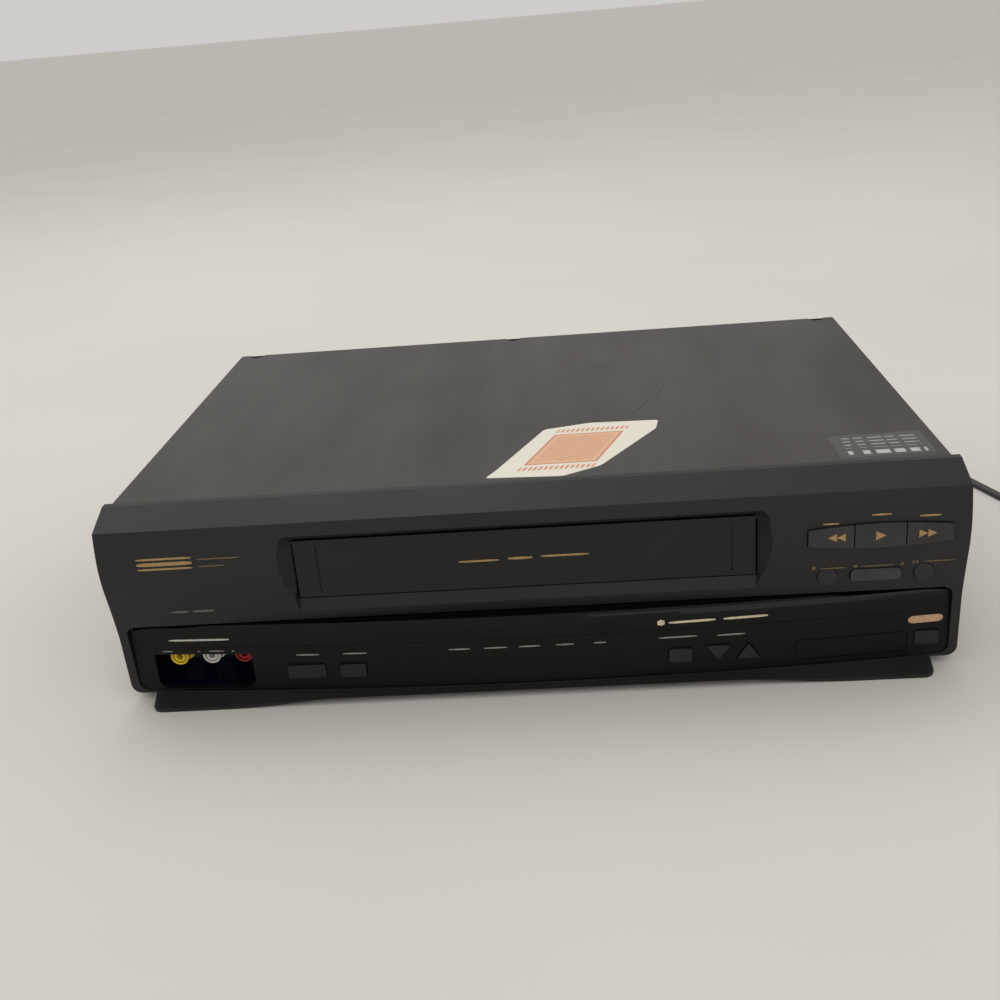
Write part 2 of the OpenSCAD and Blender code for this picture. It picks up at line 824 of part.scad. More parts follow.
module bottom_chassis() {
  half = cover_half - cover_t - 0.2;
  fold_h = 10;
  color([0.6, 0.61, 0.62]) at() difference() {
    union() {
      block(-half, half, bezel_d, rear_inner_y, chassis_z, chassis_z + steel_t);
      for (side = [-1, 1]) mirror([side < 0 ? 1 : 0, 0, 0]) {
        block(half - steel_t, half, bezel_d + 6, rear_inner_y,
          chassis_z, chassis_z + steel_t + fold_h);
      }
      for (side = [-1, 1], y = pillar_ys) {
        post(cx + side * pillar_x, y, chassis_z, deck_base, 4);
      }
      for (p = standoffs) {
        post(p[0], p[1], chassis_z, board_z, 3);
      }
    }
    // Rows of cooling slots under the two boards
    for (x = [-half + 20 : 9 : -half + 60], y = [70, 120, 170]) {
      block(x, x + 3, y, y + 34, chassis_z - 1, chassis_z + steel_t + 1);
    }
    for (x = [half - 62 : 9 : half - 18], y = [114, 160, 206]) {
      block(x, x + 3, y, y + 34, chassis_z - 1, chassis_z + steel_t + 1);
    }
    for (side = [-1, 1], y = [bezel_d + 70, body_d - 40]) {
      rod_x(y, screw_z, side * half - 3, side * half + 3, 1.3);
    }
  }
}

main_left = -cover_half + 5.5;
main_right = 100;
power_left = 114;
power_right = cover_half - 4.5;
board_back = rear_inner_y - 9;
standoffs = [
  [main_left + 6, 40], [main_left + 6, board_back - 6], [main_right - 8, 40],
  [main_right - 8, board_back - 6], [power_left + 6, 106], [power_left + 6, board_back - 6],
  [power_right - 6, 106], [power_right - 6, board_back - 6]
];

module rear_panel() {
  half = cover_half - cover_t - 0.4;
  color([0.62, 0.63, 0.64]) at() difference() {
    union() {
      block(-half, half, rear_inner_y, rear_y, chassis_z, body_h - cover_t - 0.3);
      block(-half + 8, half - 8, rear_inner_y - 7, rear_inner_y + small,
        chassis_z + steel_t, chassis_z + 2 * steel_t);
    }
    for (z = tuner_z) {
      rod_y(tuner_x, z, rear_inner_y - 1, rear_y + 1, antenna_d / 2 + 0.25);
    }
    for (i = [0 : 2], z = rear_jack_z) {
      rod_y(rear_jack_x + i * rear_jack_pitch, z, rear_inner_y - 1, rear_y + 1,
        jack_d / 2 + 0.15);
    }
    rod_y(lead_x, lead_z, rear_inner_y - 1, rear_y + 1, 5);
    for (x = notch_xs) {
      rod_y(x, body_h - 8, rear_inner_y - 1, rear_y + 1, 1.3);
    }
    // Cooling slots over the power board
    for (i = [0 : 11]) {
      x = power_left + i * (power_right - power_left - 8.4) / 11;
      block(x, x + 2.4, rear_inner_y - 1, rear_y + 1, 48, 74);
    }
  }
}

module rear_feet() {
  foot_rim = 1.2;
  color([0.06, 0.06, 0.06]) at() for (side = [-1, 1]) {
    translate([side * (half_w - 40), body_d - 26, 0]) rotate_extrude()
      polygon([
        [0, 0.8], [foot_d / 2 - 4, 0.8], [foot_d / 2 - 3.4, 0],
        [foot_d / 2 - foot_rim, 0], [foot_d / 2, foot_rim],
        [foot_d / 2, chassis_z], [0, chassis_z]
      ]);
  }
}

// Screws of the cover: two in each side and three through the fold at the back
module cover_screws() {
  head_r = 3.1;
  head_t = 1.7;
  shank_l = 4;
  side_out = cover_half;
  color([0.1, 0.1, 0.1]) at() {
    for (side = [-1, 1], y = [bezel_d + 70, body_d - 40]) mirror([side < 0 ? 1 : 0, 0, 0]) {
      rod_x(y, screw_z, side_out, side_out + head_t, head_r);
      rod_x(y, screw_z, side_out - shank_l, side_out + small, 1.25);
    }
    for (x = notch_xs) {
      rod_y(x, body_h - 8, body_d, body_d + head_t, head_r);
      rod_y(x, body_h - 8, body_d - shank_l, body_d + small, 1.25);
    }
  }
}

// ---------------------------------------------------------------- buttons

module panel_key(x, w) {
  color([0.22, 0.23, 0.24]) at() {
    along_y(panel_y(x) - 1.1, panel_back(x) + 0.4) key_outline(x, w, 0);
    shank([x, switch_z], panel_back(x), w + 2, key_h + 2);
  }
}

module power_button() {
  panel_key(power_x, power_w);
}

module source_button() {
  panel_key(source_x, source_w);
}

module tape_speed_button() {
  panel_key(speed_x, speed_w);
}

module channel_button(x, way) {
  color([0.22, 0.23, 0.24]) at() {
    along_y(panel_y(x) - 1.1, panel_back(x) + 0.4) arrow_outline(x, way, 0);
    shank([x, switch_z], panel_back(x), arrow_w + 1.8, arrow_h + 1.8);
  }
}

module channel_down_button() {
  channel_button(down_x, -1);
}

module channel_up_button() {
  channel_button(up_x, 1);
}

module auto_return_button() {
  color([0.2, 0.21, 0.22]) at() {
    along_y(panel_y(return_x) - 0.9, panel_back(return_x) + 0.4) return_outline(0);
    shank([return_x, return_z], panel_back(return_x), return_w + 1.8, key_h + 1.8);
  }
}

// One of the three buttons of the spindle-shaped row, between two places along it
module bar_button(x0, x1, switch_x) {
  between = 0.25;
  a = x0 + (x0 > bar_x - bar_w / 2 ? between : 0);
  b = x1 - (x1 < bar_x + bar_w / 2 ? between : 0);
  color([0.25, 0.25, 0.26]) at() {
    along_y(face_y(bar_z) - 1.2, bezel_back(bar_z) + 0.4) bar_outline(a, b, 0);
    block(a + 0.1, b - 0.1, bezel_back(bar_z), bezel_back(bar_z) + 1.2,
      bar_z - bar_h / 2 - 1, bar_z + bar_h / 2 + 1);
    rod_y(switch_x, bar_z, bezel_back(bar_z), switch_front - button_travel - 0.1, 1.8);
  }
}

module rewind_button() {
  bar_button(bar_x - bar_w / 2, bar_x - bar_split, bar_x - bar_w * 0.34);
}

module play_button() {
  bar_button(bar_x - bar_split, bar_x + bar_split, bar_x);
}

module fast_forward_button() {
  bar_button(bar_x + bar_split, bar_x + bar_w / 2, bar_x + bar_w * 0.34);
}

module round_button(x) {
  back = bezel_back(lower_z - round_d / 2 - 1.2);
  color([0.2, 0.21, 0.22]) at() {
    along_y(face_y(lower_z) - 0.7, back + 0.4) round_outline(x, 0);
    rod_y(x, lower_z, back, back + 1.2, round_d / 2 + 1.2);
    rod_y(x, lower_z, back, switch_front - button_travel - 0.1, 1.8);
  }
}

module record_button() {
  round_button(record_x);
}

module pause_button() {
  round_button(pause_x);
}

module stop_eject_button() {
  color([0.3, 0.3, 0.31]) at() {
    along_y(face_y(lower_z) - 1.1, bezel_back(lower_z) + 0.4) stop_outline(0);
    shank([stop_x, lower_z], bezel_back(lower_z), stop_w + 1.8, stop_h + 1.8);
  }
}

// ---------------------------------------------------------------- front electrics

module front_board() {
  base = chassis_z + steel_t + 1.2;
  left = -half_w + 12;
  right = half_w - 8;
  step_x = door_right + 10;
  lamp_pitch = 16.2;
  lamp_y = 8;
  lamp_z = window_base + 6;
  color([0.35, 0.27, 0.12]) at() {
    along_y(front_board_y, front_board_y + board_t) polygon([
      [left, base], [right, base], [right, bar_z + 10], [step_x, bar_z + 10],
      [step_x, door_base - 7], [left, door_base - 7]
    ]);
    // Five lamps and the remote receiver behind the smoked window
    for (i = [0 : 4]) {
      rod_y(-34.3 + i * lamp_pitch, lamp_z, lamp_y, front_board_y + small, 1.5);
    }
    block(half_w - 52, half_w - 44, 12, front_board_y + small, lamp_z - 4, lamp_z + 4);
    // Connector to the main board
    block(-30, 12, front_board_y + board_t - small, front_board_y + board_t + 6,
      base + 2, base + 8);
  }
}

module tact_switches() {
  body = 6;
  color([0.08, 0.08, 0.08]) at() for (p = switch_places) {
    block(p[0] - body / 2, p[0] + body / 2, front_board_y - 3.5, front_board_y,
      p[1] - body / 2, p[1] + body / 2);
    rod_y(p[0], p[1], switch_front, front_board_y - 3.4, 1.7);
  }
}

// A phono socket, drawn with its wall's outer face at Z 0 and its mouth upwards
module phono(wall_t, barrel_l, body_l) {
  body = 10.4;
  difference() {
    union() {
      cylinder(h = barrel_l, r = jack_d / 2);
      cylinder(h = 1, r = jack_d / 2 + 1.5);
      translate([0, 0, -wall_t - small]) cylinder(h = wall_t + 0.1, r = jack_d / 2);
      translate([-body / 2, -body / 2, -wall_t - body_l]) cube([body, body, body_l]);
    }
    translate([0, 0, barrel_l - 9]) cylinder(h = 10, r = jack_bore / 2);
    translate([0, 0, barrel_l - 1.6]) difference() {
      cylinder(h = 2, r = jack_d / 2 - 0.7);
      cylinder(h = 4, r = jack_d / 2 - 1.7, center = true);
    }
  }
}

module front_jack(i) {
  at() translate([jack_x + i * jack_pitch, recess_back - 1.5, jack_z]) rotate([90, 0, 0])
    phono(1.5, 8.5, front_board_y - recess_back);
}

module front_video_jack() {
  color([0.85, 0.75, 0.15]) front_jack(-1);
}

module front_audio_left_jack() {
  color([0.9, 0.9, 0.88]) front_jack(0);
}

module front_audio_right_jack() {
  color([0.6, 0.1, 0.12]) front_jack(1);
}

// ---------------------------------------------------------------- boards

module main_board() {
  top = board_top - small;
  chips = [[-60, 62, 34, 12, 2], [8, 56, 14, 14, 1.8], [64, 70, 24, 12, 2],
    [-20, 236, 40, 12, 4], [52, 232, 18, 18, 3]];
  edge = main_left;
  tall = [[edge + 5.9, 52], [edge + 17.9, 54], [edge + 7.9, 128], [edge + 21.9, 130],
    [edge + 5.9, 146], [edge + 23.9, 148], [edge + 53.9, 60], [edge + 51.9, 78]];
  color([0.62, 0.5, 0.24]) at() {
    difference() {
      block(main_left, main_right, 34, board_back, board_z, board_top);
      for (y = pillar_ys) {
        post(cx - pillar_x, y, board_z - 1, board_top + 1, 5);
      }
    }
    for (c = chips) {
      block(c[0] - c[2] / 2, c[0] + c[2] / 2, c[1] - c[3] / 2, c[1] + c[3] / 2,
        top, board_top + c[4]);
    }
    for (i = [0 : len(tall) - 1]) {
      post(tall[i][0], tall[i][1], top, board_top + 11 + 3 * (i % 3), 4 + i % 2);
    }
    // Screened amplifier can in the left bay, and ribbon sockets towards the deck
    block(edge + 7.9, edge + 47.9, 84, 114, top, board_top + 14);
    block(edge + 31.9, edge + 53.9, 158, 163, top, board_top + 7);
    block(edge + 31.9, edge + 53.9, 174, 179, top, board_top + 7);
  }
}

module power_board() {
  top = board_top - small;
  sink_x = power_left + 6;
  color([0.6, 0.47, 0.22]) at() {
    block(power_left, power_right, 98, board_back, board_z, board_top);
    // Finned heat sink
    block(sink_x, sink_x + 3, 122, 166, top, board_top + 34);
    for (i = [0 : 7]) {
      block(sink_x + 3 - small, sink_x + 12, 123 + i * 5.6, 124.4 + i * 5.6,
        top + 2, board_top + 34);
    }
    post(power_right - 18, 132, top, board_top + 32, 12);
    post(power_right - 14, 156, top, board_top + 20, 6.5);
    post(power_right - 30, 160, top, board_top + 16, 5);
    for (y = [176, 190]) {
      post(power_left + 12, y, top, board_top + 14, 4);
    }
    // Fuse in its clips, and the block that takes the mains lead
    for (x = [power_right - 34, power_right - 14]) {
      block(x, x + 4, 232, 240, top, board_top + 8);
    }
    rod_x(236, board_top + 5.4, power_right - 35, power_right - 9, 2.6);
    block(power_left + 4, power_left + 20, board_back - 16, board_back - 4,
      top, board_top + 12);
  }
}

module power_transformer() {
  x = power_right - 24.9;
  y = 202;
  half = [(power_right - power_left) / 2 - 14.45, 17];
  h = 34;
  color([0.25, 0.24, 0.24]) at() {
    difference() {
      block(x - half[0], x + half[0], y - 7, y + 7, board_top, board_top + h);
      for (side = [-1, 1]) {
        mid = x + side * 0.525 * half[0];
        block(mid - 0.2 * half[0], mid + 0.2 * half[0], y - 8, y + 8,
          board_top + 6, board_top + h - 6);
      }
    }
    block(x - 0.72 * half[0], x + 0.72 * half[0], y - half[1], y + half[1],
      board_top + 6.2, board_top + h - 6.2);
  }
}

module tuner_module() {
  half = 27;
  front = rear_inner_y - 36;
  color([0.72, 0.73, 0.74]) at() difference() {
    union() {
      block(tuner_x - 12, tuner_x + half + 15, front, rear_inner_y, board_top, 58);
      for (z = tuner_z) {
        rod_y(tuner_x, z, rear_inner_y - 2, rear_y + 1.1, antenna_d / 2 - 0.5);
        rod_y(tuner_x, z, rear_y + 1, rear_y + antenna_l, antenna_d / 2);
      }
      block(tuner_x - 12.5, tuner_x + half + 15.5, front - 0.5, rear_inner_y - 6,
        board_top + 6, 50);
    }
    for (z = tuner_z) {
      difference() {
        rod_y(tuner_x, z, rear_y + antenna_l - 7, rear_y + antenna_l + 1, antenna_d / 2 - 1);
        rod_y(tuner_x, z, rear_y + antenna_l - 8, rear_y + antenna_l - 1, antenna_d / 2 - 2);
      }
      rod_y(tuner_x, z, rear_y + antenna_l - 8, rear_y + antenna_l + 1, 0.6);
    }
  }
}

module rear_jacks(i) {
  at() for (z = rear_jack_z) {
    translate([rear_jack_x + i * rear_jack_pitch, rear_y, z]) rotate([-90, 0, 0])
      phono(steel_t, 8, 11);
  }
}

module rear_video_jacks() {
  color([0.85, 0.75, 0.15]) rear_jacks(0);
}

module rear_audio_left_jacks() {
  color([0.9, 0.9, 0.88]) rear_jacks(1);
}

module rear_audio_right_jacks() {
  color([0.6, 0.1, 0.12]) rear_jacks(2);
}

// ---------------------------------------------------------------- tape deck

deck_front = 40;
deck_back = 222;
rest_r = 3;
rests = [[-78, 46], [78, 46], [-78, 128], [66, 120]];

// Deck parts are placed from the middle of the cassette slot
module deck() {
  at() translate([cx, 0, 0]) children();
}

module sleeve(p, z0, z1, outer, inner) {
  difference() {
    post(p[0], p[1], z0, z1, outer);
    post(p[0], p[1], z0 - 1, z1 + 1, inner);
  }
}

module guide_slot(side) {
  width = 6;
  length = norm(guide_end - guide_start);
  translate([side * guide_start[0], guide_start[1], deck_base - 1])
    rotate([0, 0, -side * guide_angle]) {
      translate([-width / 2, -3, 0]) cube([width, length + 6, deck_t + 2]);
      translate([0, -3, 0]) cylinder(h = deck_t + 2, r = width / 2);
      translate([0, length + 3, 0]) cylinder(h = deck_t + 2, r = width / 2);
    }
}

module deck_plate() {
  fold = 5;
  color([0.7, 0.71, 0.72]) deck() {
    difference() {
      union() {
        block(-deck_half, deck_half, deck_front, deck_back, deck_base, deck_top);
        for (side = [-1, 1], y = pillar_ys) {
          post(side * pillar_x, y, deck_base, deck_top, 5);
          block(side * pillar_x - 4, side * pillar_x + 4, y - 5, y + 5,
            deck_base, deck_top);
        }
        block(-deck_half + 6, deck_half - 6, deck_front, deck_front + steel_t,
          deck_base - fold, deck_base + small);
        block(-deck_half + 6, deck_half - 6, deck_back - steel_t, deck_back,
          deck_base - fold, deck_base + small);
      }
      post(0, drum_y, deck_base - 1, deck_top + 1, 20);
      post(capstan_at[0], capstan_at[1], deck_base - 1, deck_top + 1, 4.5);
      post(idler_at[0], idler_at[1], deck_base - 1, deck_top + 1, 3.5);
      for (side = [-1, 1]) {
        guide_slot(side);
      }
      for (side = [-1, 1], y = pillar_ys) {
        post(side * pillar_x, y, deck_base - 1, deck_top + 1, 1.6);
      }
      // Lightening holes
      for (x = [-30, 0, 30]) {
        post(x, 54, deck_base - 1, deck_top + 1, 6);
      }
    }
    sleeve(capstan_at, deck_base - 1.1, deck_top + 0.3, 5, capstan_d / 2 + shaft_clear);
    sleeve(capstan_at, deck_top, deck_top + 4.5, 3.8, capstan_d / 2 + shaft_clear);
    sleeve(idler_at, deck_base - 1.1, gear_plane - 0.4, 4, shaft_r + shaft_clear);
    for (side = [-1, 1]) {
      post(side * reel_x, reel_y, deck_top - small, deck_top + 18, shaft_r);
    }
    post(pinch_pivot[0], pinch_pivot[1], deck_top - small, deck_top + 12.4, shaft_r);
    post(tension_pivot[0], tension_pivot[1], deck_top - small, deck_top + 9, shaft_r);
    post(cam_at[0], cam_at[1], deck_top - small, worm_z + 2, shaft_r);
    for (p = rests) {
      post(p[0], p[1], deck_top - small, tray_floor - holder_drop - 0.2, rest_r);
    }
  }
}

// A side plate of the holder's guide: it carries the slide on a rail and the lift shaft in a bore
module side_bracket(side) {
  top = shaft_z + 5;
  back = holder_y + slide_l + holder_travel + 2;
  mid = 168;
  color([0.66, 0.67, 0.68]) deck() mirror([side < 0 ? 1 : 0, 0, 0]) difference() {
    union() {
      along_x(bracket_inner, bracket_inner + steel_t) polygon([
        [deck_front, deck_top], [mid, deck_top], [mid, slide_base - 2],
        [back, slide_base - 2], [back, slide_base + 12], [mid, slide_base + 12],
        [mid - 8, top], [mid - 34, top], [mid - 46, rack_z - 8],
        [holder_y - 2, rack_z - 8], [holder_y - 2, slide_base - 2],
        [deck_front, slide_base - 6]
      ]);
      // Rail pressed onto the plate, on which the slide runs
      block(slide_inner + 0.4, bracket_inner - press_gap, holder_y - 2, back,
        slide_base - 1.2, slide_base - 0.3);
      block(bracket_inner + steel_t - small, deck_half - 0.6, 60, 76,
        deck_top, deck_top + steel_t);
      block(bracket_inner + steel_t - small, deck_half - 0.6, 120, 136,
        deck_top, deck_top + steel_t);
    }
    rod_x(shaft_y, shaft_z, bracket_inner - 1, bracket_inner + steel_t + 1,
      shaft_r + shaft_clear);
    for (y = [66, 98, 130]) {
      rod_x(y, deck_top + 11, bracket_inner - 1, bracket_inner + steel_t + 1, 6);
    }
  }
}

module side_bracket_left() {
  side_bracket(-1);
}

module side_bracket_right() {
  side_bracket(1);
}

// Side view of a slide's toothed upper edge
module slide_outline() {
  pitch = PI * gear_m;
  half = pitch / 4 - gear_slack;
  tip = half - gear_add * tan(20);
  root = half + gear_ded * tan(20);
  low = rack_z - gear_ded;
  high = rack_z + gear_add;
  first = floor((shaft_y - holder_travel - 4 - shaft_y) / pitch);
  last = floor((holder_y + slide_l - shaft_y - root) / pitch);
  polygon(concat(
    [[holder_y, slide_base], [holder_y + slide_l, slide_base], [holder_y + slide_l, low]],
    [for (k = [last : -1 : first]) each [
      [shaft_y + k * pitch + root, low], [shaft_y + k * pitch + tip, high],
      [shaft_y + k * pitch - tip, high], [shaft_y + k * pitch - root, low]
    ]],
    [[holder_y, low]]
  ));
}

// The pair of slides that carry the holder back, each with two upright slots for its pins
module holder_slides() {
  slot_r = pin_r + 0.15;
  color([0.2, 0.2, 0.21]) deck() for (side = [-1, 1]) mirror([side < 0 ? 1 : 0, 0, 0]) {
    difference() {
      along_x(slide_inner, slide_inner + slide_t) slide_outline();
      for (y = pin_ys) {
        low = pin_z - holder_drop;
        rod_x(y, pin_z, slide_inner - 1, slide_inner + slide_t + 1, slot_r);
        rod_x(y, low, slide_inner - 1, slide_inner + slide_t + 1, slot_r);
        block(slide_inner - 1, slide_inner + slide_t + 1, y - slot_r, y + slot_r,
          low, pin_z);
      }
      for (y = [94, 120]) {
        block(slide_inner - 1, slide_inner + slide_t + 1, y, y + 18,
          slide_base + 8, slide_base + 20);
      }
    }
  }
}

// The tray that takes the cassette: a roof, two sides and a narrow floor under each edge
module cassette_holder() {
  lip = 8;
  back = holder_y + holder_d;
  color([0.74, 0.75, 0.76]) deck() {
    difference() {
      block(-holder_half - holder_t, holder_half + holder_t, holder_y, back,
        holder_roof, holder_roof + 1);
      for (side = [-1, 1]) {
        block(side * 52 - 22, side * 52 + 22, holder_y + 9, back - 12,
          holder_roof - 1, holder_roof + 2);
      }
    }
    for (side = [-1, 1]) mirror([side < 0 ? 1 : 0, 0, 0]) {
      difference() {
        block(holder_half, holder_half + holder_t, holder_y, back,
          holder_base, holder_roof + small);
        for (y = pin_ys) {
          rod_x(y, pin_z, holder_half - 1, holder_half + holder_t + 1, pin_r + press_gap);
        }
      }
      block(holder_half - lip, holder_half + small, holder_y, back,
        holder_base, tray_floor);
      block(holder_half - lip, holder_half + small, back - holder_t, back,
        holder_roof - 8, holder_roof + small);
      // Pins riveted through the side, flush with its inner face
      for (y = pin_ys) {
        rod_x(y, pin_z, holder_half, slide_inner + slide_t, pin_r);
      }
      // Leaf spring in the roof's window, pressing on the cassette
      block(42, 62, back - 12 - small, back - 10, holder_roof, holder_roof + 1);
      block(47, 57, holder_y + 14, back - 12 + small, holder_roof, holder_roof + 0.6);
    }
  }
}

module lift_shaft() {
  over = 2;
  end = bracket_inner + steel_t + over;
  color([0.78, 0.79, 0.8]) deck() {
    rod_x(shaft_y, shaft_z, -end, end, shaft_r);
    for (side = [-1, 1]) mirror([side < 0 ? 1 : 0, 0, 0]) {
      translate([slide_inner, shaft_y, shaft_z]) rotate([90, 0, 90])
        rotate([0, 0, -90 + 180 / pinion_teeth]) difference() {
          deck_gear(pinion_teeth, slide_t);
          translate([0, 0, -1]) cylinder(h = slide_t + 2, r = shaft_r + press_gap);
        }
    }
  }
}

// ---------------------------------------------------------------- drum

shaft_5 = 2.5;              // radius of the drum's shaft
drum_gap = 0.35;
lower_h = 17.5;
upper_h = 31;
rotor_h = [-9, -4];
rotor_r = 22;

module drum_frame() {
  deck() translate([0, drum_y, deck_top]) rotate([0, -drum_tilt, 0]) children();
}

module ring(z0, z1, r) {
  translate([0, 0, z0]) cylinder(h = z1 - z0, r = r, $fn = 96);
}

module lower_drum() {
  lead_step = 0.5;
  color([0.76, 0.77, 0.78]) {
    difference() {
      union() {
        deck() {
          post(0, drum_y, deck_top, deck_top + 3, 35);
          for (a = [30, 150, 270]) {
            translate([0, drum_y, 0]) rotate([0, 0, a])
              post(33, 0, deck_top, deck_top + 4, 4);
          }
        }
        difference() {
          drum_frame() {
            ring(0.5, lower_h - 9, drum_r - lead_step);
            ring(lower_h - 9.01, lower_h, drum_r);
          }
          deck() block(-40, 40, drum_y - 40, drum_y + 40, deck_top - 6, deck_top);
        }
        drum_frame() ring(-3.4, 1, 7);
      }
      drum_frame() {
        ring(-5, lower_h + 1, shaft_5 + shaft_clear);
        difference() {
          ring(lower_h - 6, lower_h + 1, drum_r - 4);
          ring(lower_h - 7, lower_h + 2, 10);
        }
      }
    }
    // The sloping ledge that the tape's lower edge runs on
    intersection() {
      drum_frame() difference() {
        ring(2, lower_h - 4, drum_r + 0.7);
        ring(1, lower_h, drum_r - 1);
      }
      deck() translate([0, drum_y, deck_top + 5]) rotate([0, 3, 0])
        translate([-50, -50, -2]) cube([100, 100, 5]);
    }
  }
}

module upper_drum() {
  base = lower_h + drum_gap;
  window = [7, 4, 3.4];
  color([0.8, 0.81, 0.82]) drum_frame() {
    difference() {
      ring(base, upper_h, drum_r);
      ring(upper_h - 3, upper_h + 1, drum_r - 5);
      for (a = [0, 90, 180, 270]) rotate([0, 0, a + 20]) {
        translate([drum_r - window[1], -window[0] / 2, base - 1])
          cube([window[1] + 1, window[0], window[2] + 1]);
      }
    }
    // Four video heads, each on its little plate in a window of the drum's edge
    for (a = [0, 90, 180, 270]) rotate([0, 0, a + 20]) {
      translate([drum_r - 8, -2.2, base + window[2] - 1]) cube([7.6, 4.4, 1.4]);
      translate([drum_r - 1.4, -0.9, base + 0.5]) cube([1.45, 1.8, 2.4]);
    }
    ring(upper_h - 3.01, upper_h + 0.6, 13);
    for (a = [60, 240]) rotate([0, 0, a]) translate([9, 0, upper_h]) cylinder(h = 2, r = 2.4);
    ring(rotor_h[0], base + 1, shaft_5);
    ring(rotor_h[0], rotor_h[1], rotor_r);
  }
}

// ---------------------------------------------------------------- tape drive

module capstan() {
  wheel_top = belt_z - 0.4;
  wheel_t = 5;
  x = capstan_at[0];
  y = capstan_at[1];
  color([0.7, 0.71, 0.73]) deck() {
    difference() {
      post(x, y, wheel_top - wheel_t, wheel_top, 28);
      sleeve(capstan_at, wheel_top - 1.2, wheel_top + 1, 23, 9);
    }
    post(x, y, wheel_top - small, belt_z + belt_h + 0.4, pulley_r);
    post(x, y, wheel_top - wheel_t, deck_top + 25, capstan_d / 2);
  }
}

module pinch_lever() {
  tip = pinch_pivot + pinch_arm * [cos(pinch_rest), sin(pinch_rest)];
  low = deck_top + 0.4;
  width = 7;
  color([0.68, 0.69, 0.7]) deck() {
    difference() {
      union() {
        post(pinch_pivot[0], pinch_pivot[1], low, deck_top + 12, 4.2);
        translate([pinch_pivot[0], pinch_pivot[1], low]) rotate([0, 0, pinch_rest])
          translate([0, -width / 2, 0]) cube([pinch_arm, width, 2]);
        post(tip[0], tip[1], low, low + 2, width / 2 + 0.5);
      }
      post(pinch_pivot[0], pinch_pivot[1], low - 1, deck_top + 13, shaft_r + shaft_clear);
    }
    post(tip[0], tip[1], low + 1, deck_top + 25, 1.5);
  }
}

module pinch_roller() {
  tip = pinch_pivot + pinch_arm * [cos(pinch_rest), sin(pinch_rest)];
  color([0.12, 0.12, 0.12]) deck() difference() {
    union() {
      post(tip[0], tip[1], deck_top + 5, deck_top + 22, pinch_d / 2);
      post(tip[0], tip[1], deck_top + 3, deck_top + 23.4, 2.8);
    }
    post(tip[0], tip[1], deck_top, deck_top + 30, 1.5 + shaft_clear);
  }
}

// A reel table: a toothed flange, and a ribbed hub that drives the cassette's reel
module reel(side, turn) {
  hub_r = 9;
  hub_top = deck_top + 19;
  color([0.16, 0.16, 0.17]) deck() translate([side * reel_x, reel_y, 0]) difference() {
    union() {
      translate([0, 0, gear_plane]) rotate([0, 0, turn]) deck_gear(reel_teeth, gear_t);
      post(0, 0, deck_top + 0.4, gear_plane + small, 7);
      post(0, 0, gear_plane + gear_t - small, gear_plane + gear_t + 1.4, 14);
      post(0, 0, gear_plane + gear_t, hub_top - 3, hub_r);
      translate([0, 0, hub_top - 3.01]) cylinder(h = 3, r1 = hub_r, r2 = hub_r - 3);
      for (a = [0 : 60 : 300]) rotate([0, 0, a]) {
        block(hub_r - 1, hub_r + 2.4, -1, 1, gear_plane + gear_t, hub_top - 4);
      }
    }
    post(0, 0, deck_top, hub_top + 1, shaft_r + shaft_clear);
  }
}

module supply_reel() {
  reel(-1, 0);
}

module take_up_reel() {
  reel(1, idler_angle);
}

module idler_gear() {
  turn = idler_angle + 180 + 180 / idler_teeth;
  low = belt_z - 0.4;
  color([0.85, 0.84, 0.8]) deck() translate([idler_at[0], idler_at[1], 0]) {
    translate([0, 0, gear_plane + 0.2]) rotate([0, 0, turn]) deck_gear(idler_teeth, gear_t - 0.4);
    post(0, 0, gear_plane + gear_t - 0.3, gear_plane + gear_t + 1.6, 4);
    post(0, 0, low, gear_plane + 1, shaft_r);
    post(0, 0, low, belt_z + belt_h + 0.4, idler_pulley_r);
  }
}

module drive_belt() {
  play = 0.15;
  thick = 0.9;
  color([0.07, 0.07, 0.07]) deck() translate([0, 0, belt_z]) difference() {
    hull() {
      translate(capstan_at) cylinder(h = belt_h, r = pulley_r + play + thick);
      translate(idler_at) cylinder(h = belt_h, r = idler_pulley_r + play + thick);
    }
    hull() {
      translate(capstan_at) cylinder(h = 3 * belt_h, r = pulley_r + play, center = true);
      translate(idler_at) cylinder(h = 3 * belt_h, r = idler_pulley_r + play, center = true);
    }
  }
}

// ---------------------------------------------------------------- loading drive

worm_half = worm_turns * worm_lead / 2;
worm_shaft_r = 1.2;
motor_r = 9;
motor_dx = cam_at[0] - worm_at[0] - motor_r - 0.5;
motor_front = max(worm_half + 2.2,
  sqrt(max(0, pow(cam_r + 0.45 * cam_m, 2) - pow(motor_dx, 2))) + 0.3);

module loading_worm() {
  turn_steps = 12;
  color([0.9, 0.9, 0.86]) deck() translate([worm_at[0], worm_at[1], worm_z]) {
    translate([0, -worm_half, 0]) rotate([-90, 0, 0])
      linear_extrude(2 * worm_half, twist = -360 * worm_turns, $fn = 12,
        slices = worm_turns * turn_steps)
        translate([worm_throw, 0]) circle(worm_r);
    rod_y(0, 0, -worm_half - 5.4, -worm_half + small, worm_shaft_r, $fn = 24);
    rod_y(0, 0, worm_half - small, motor_front + 3.2, worm_shaft_r, $fn = 24);
  }
}

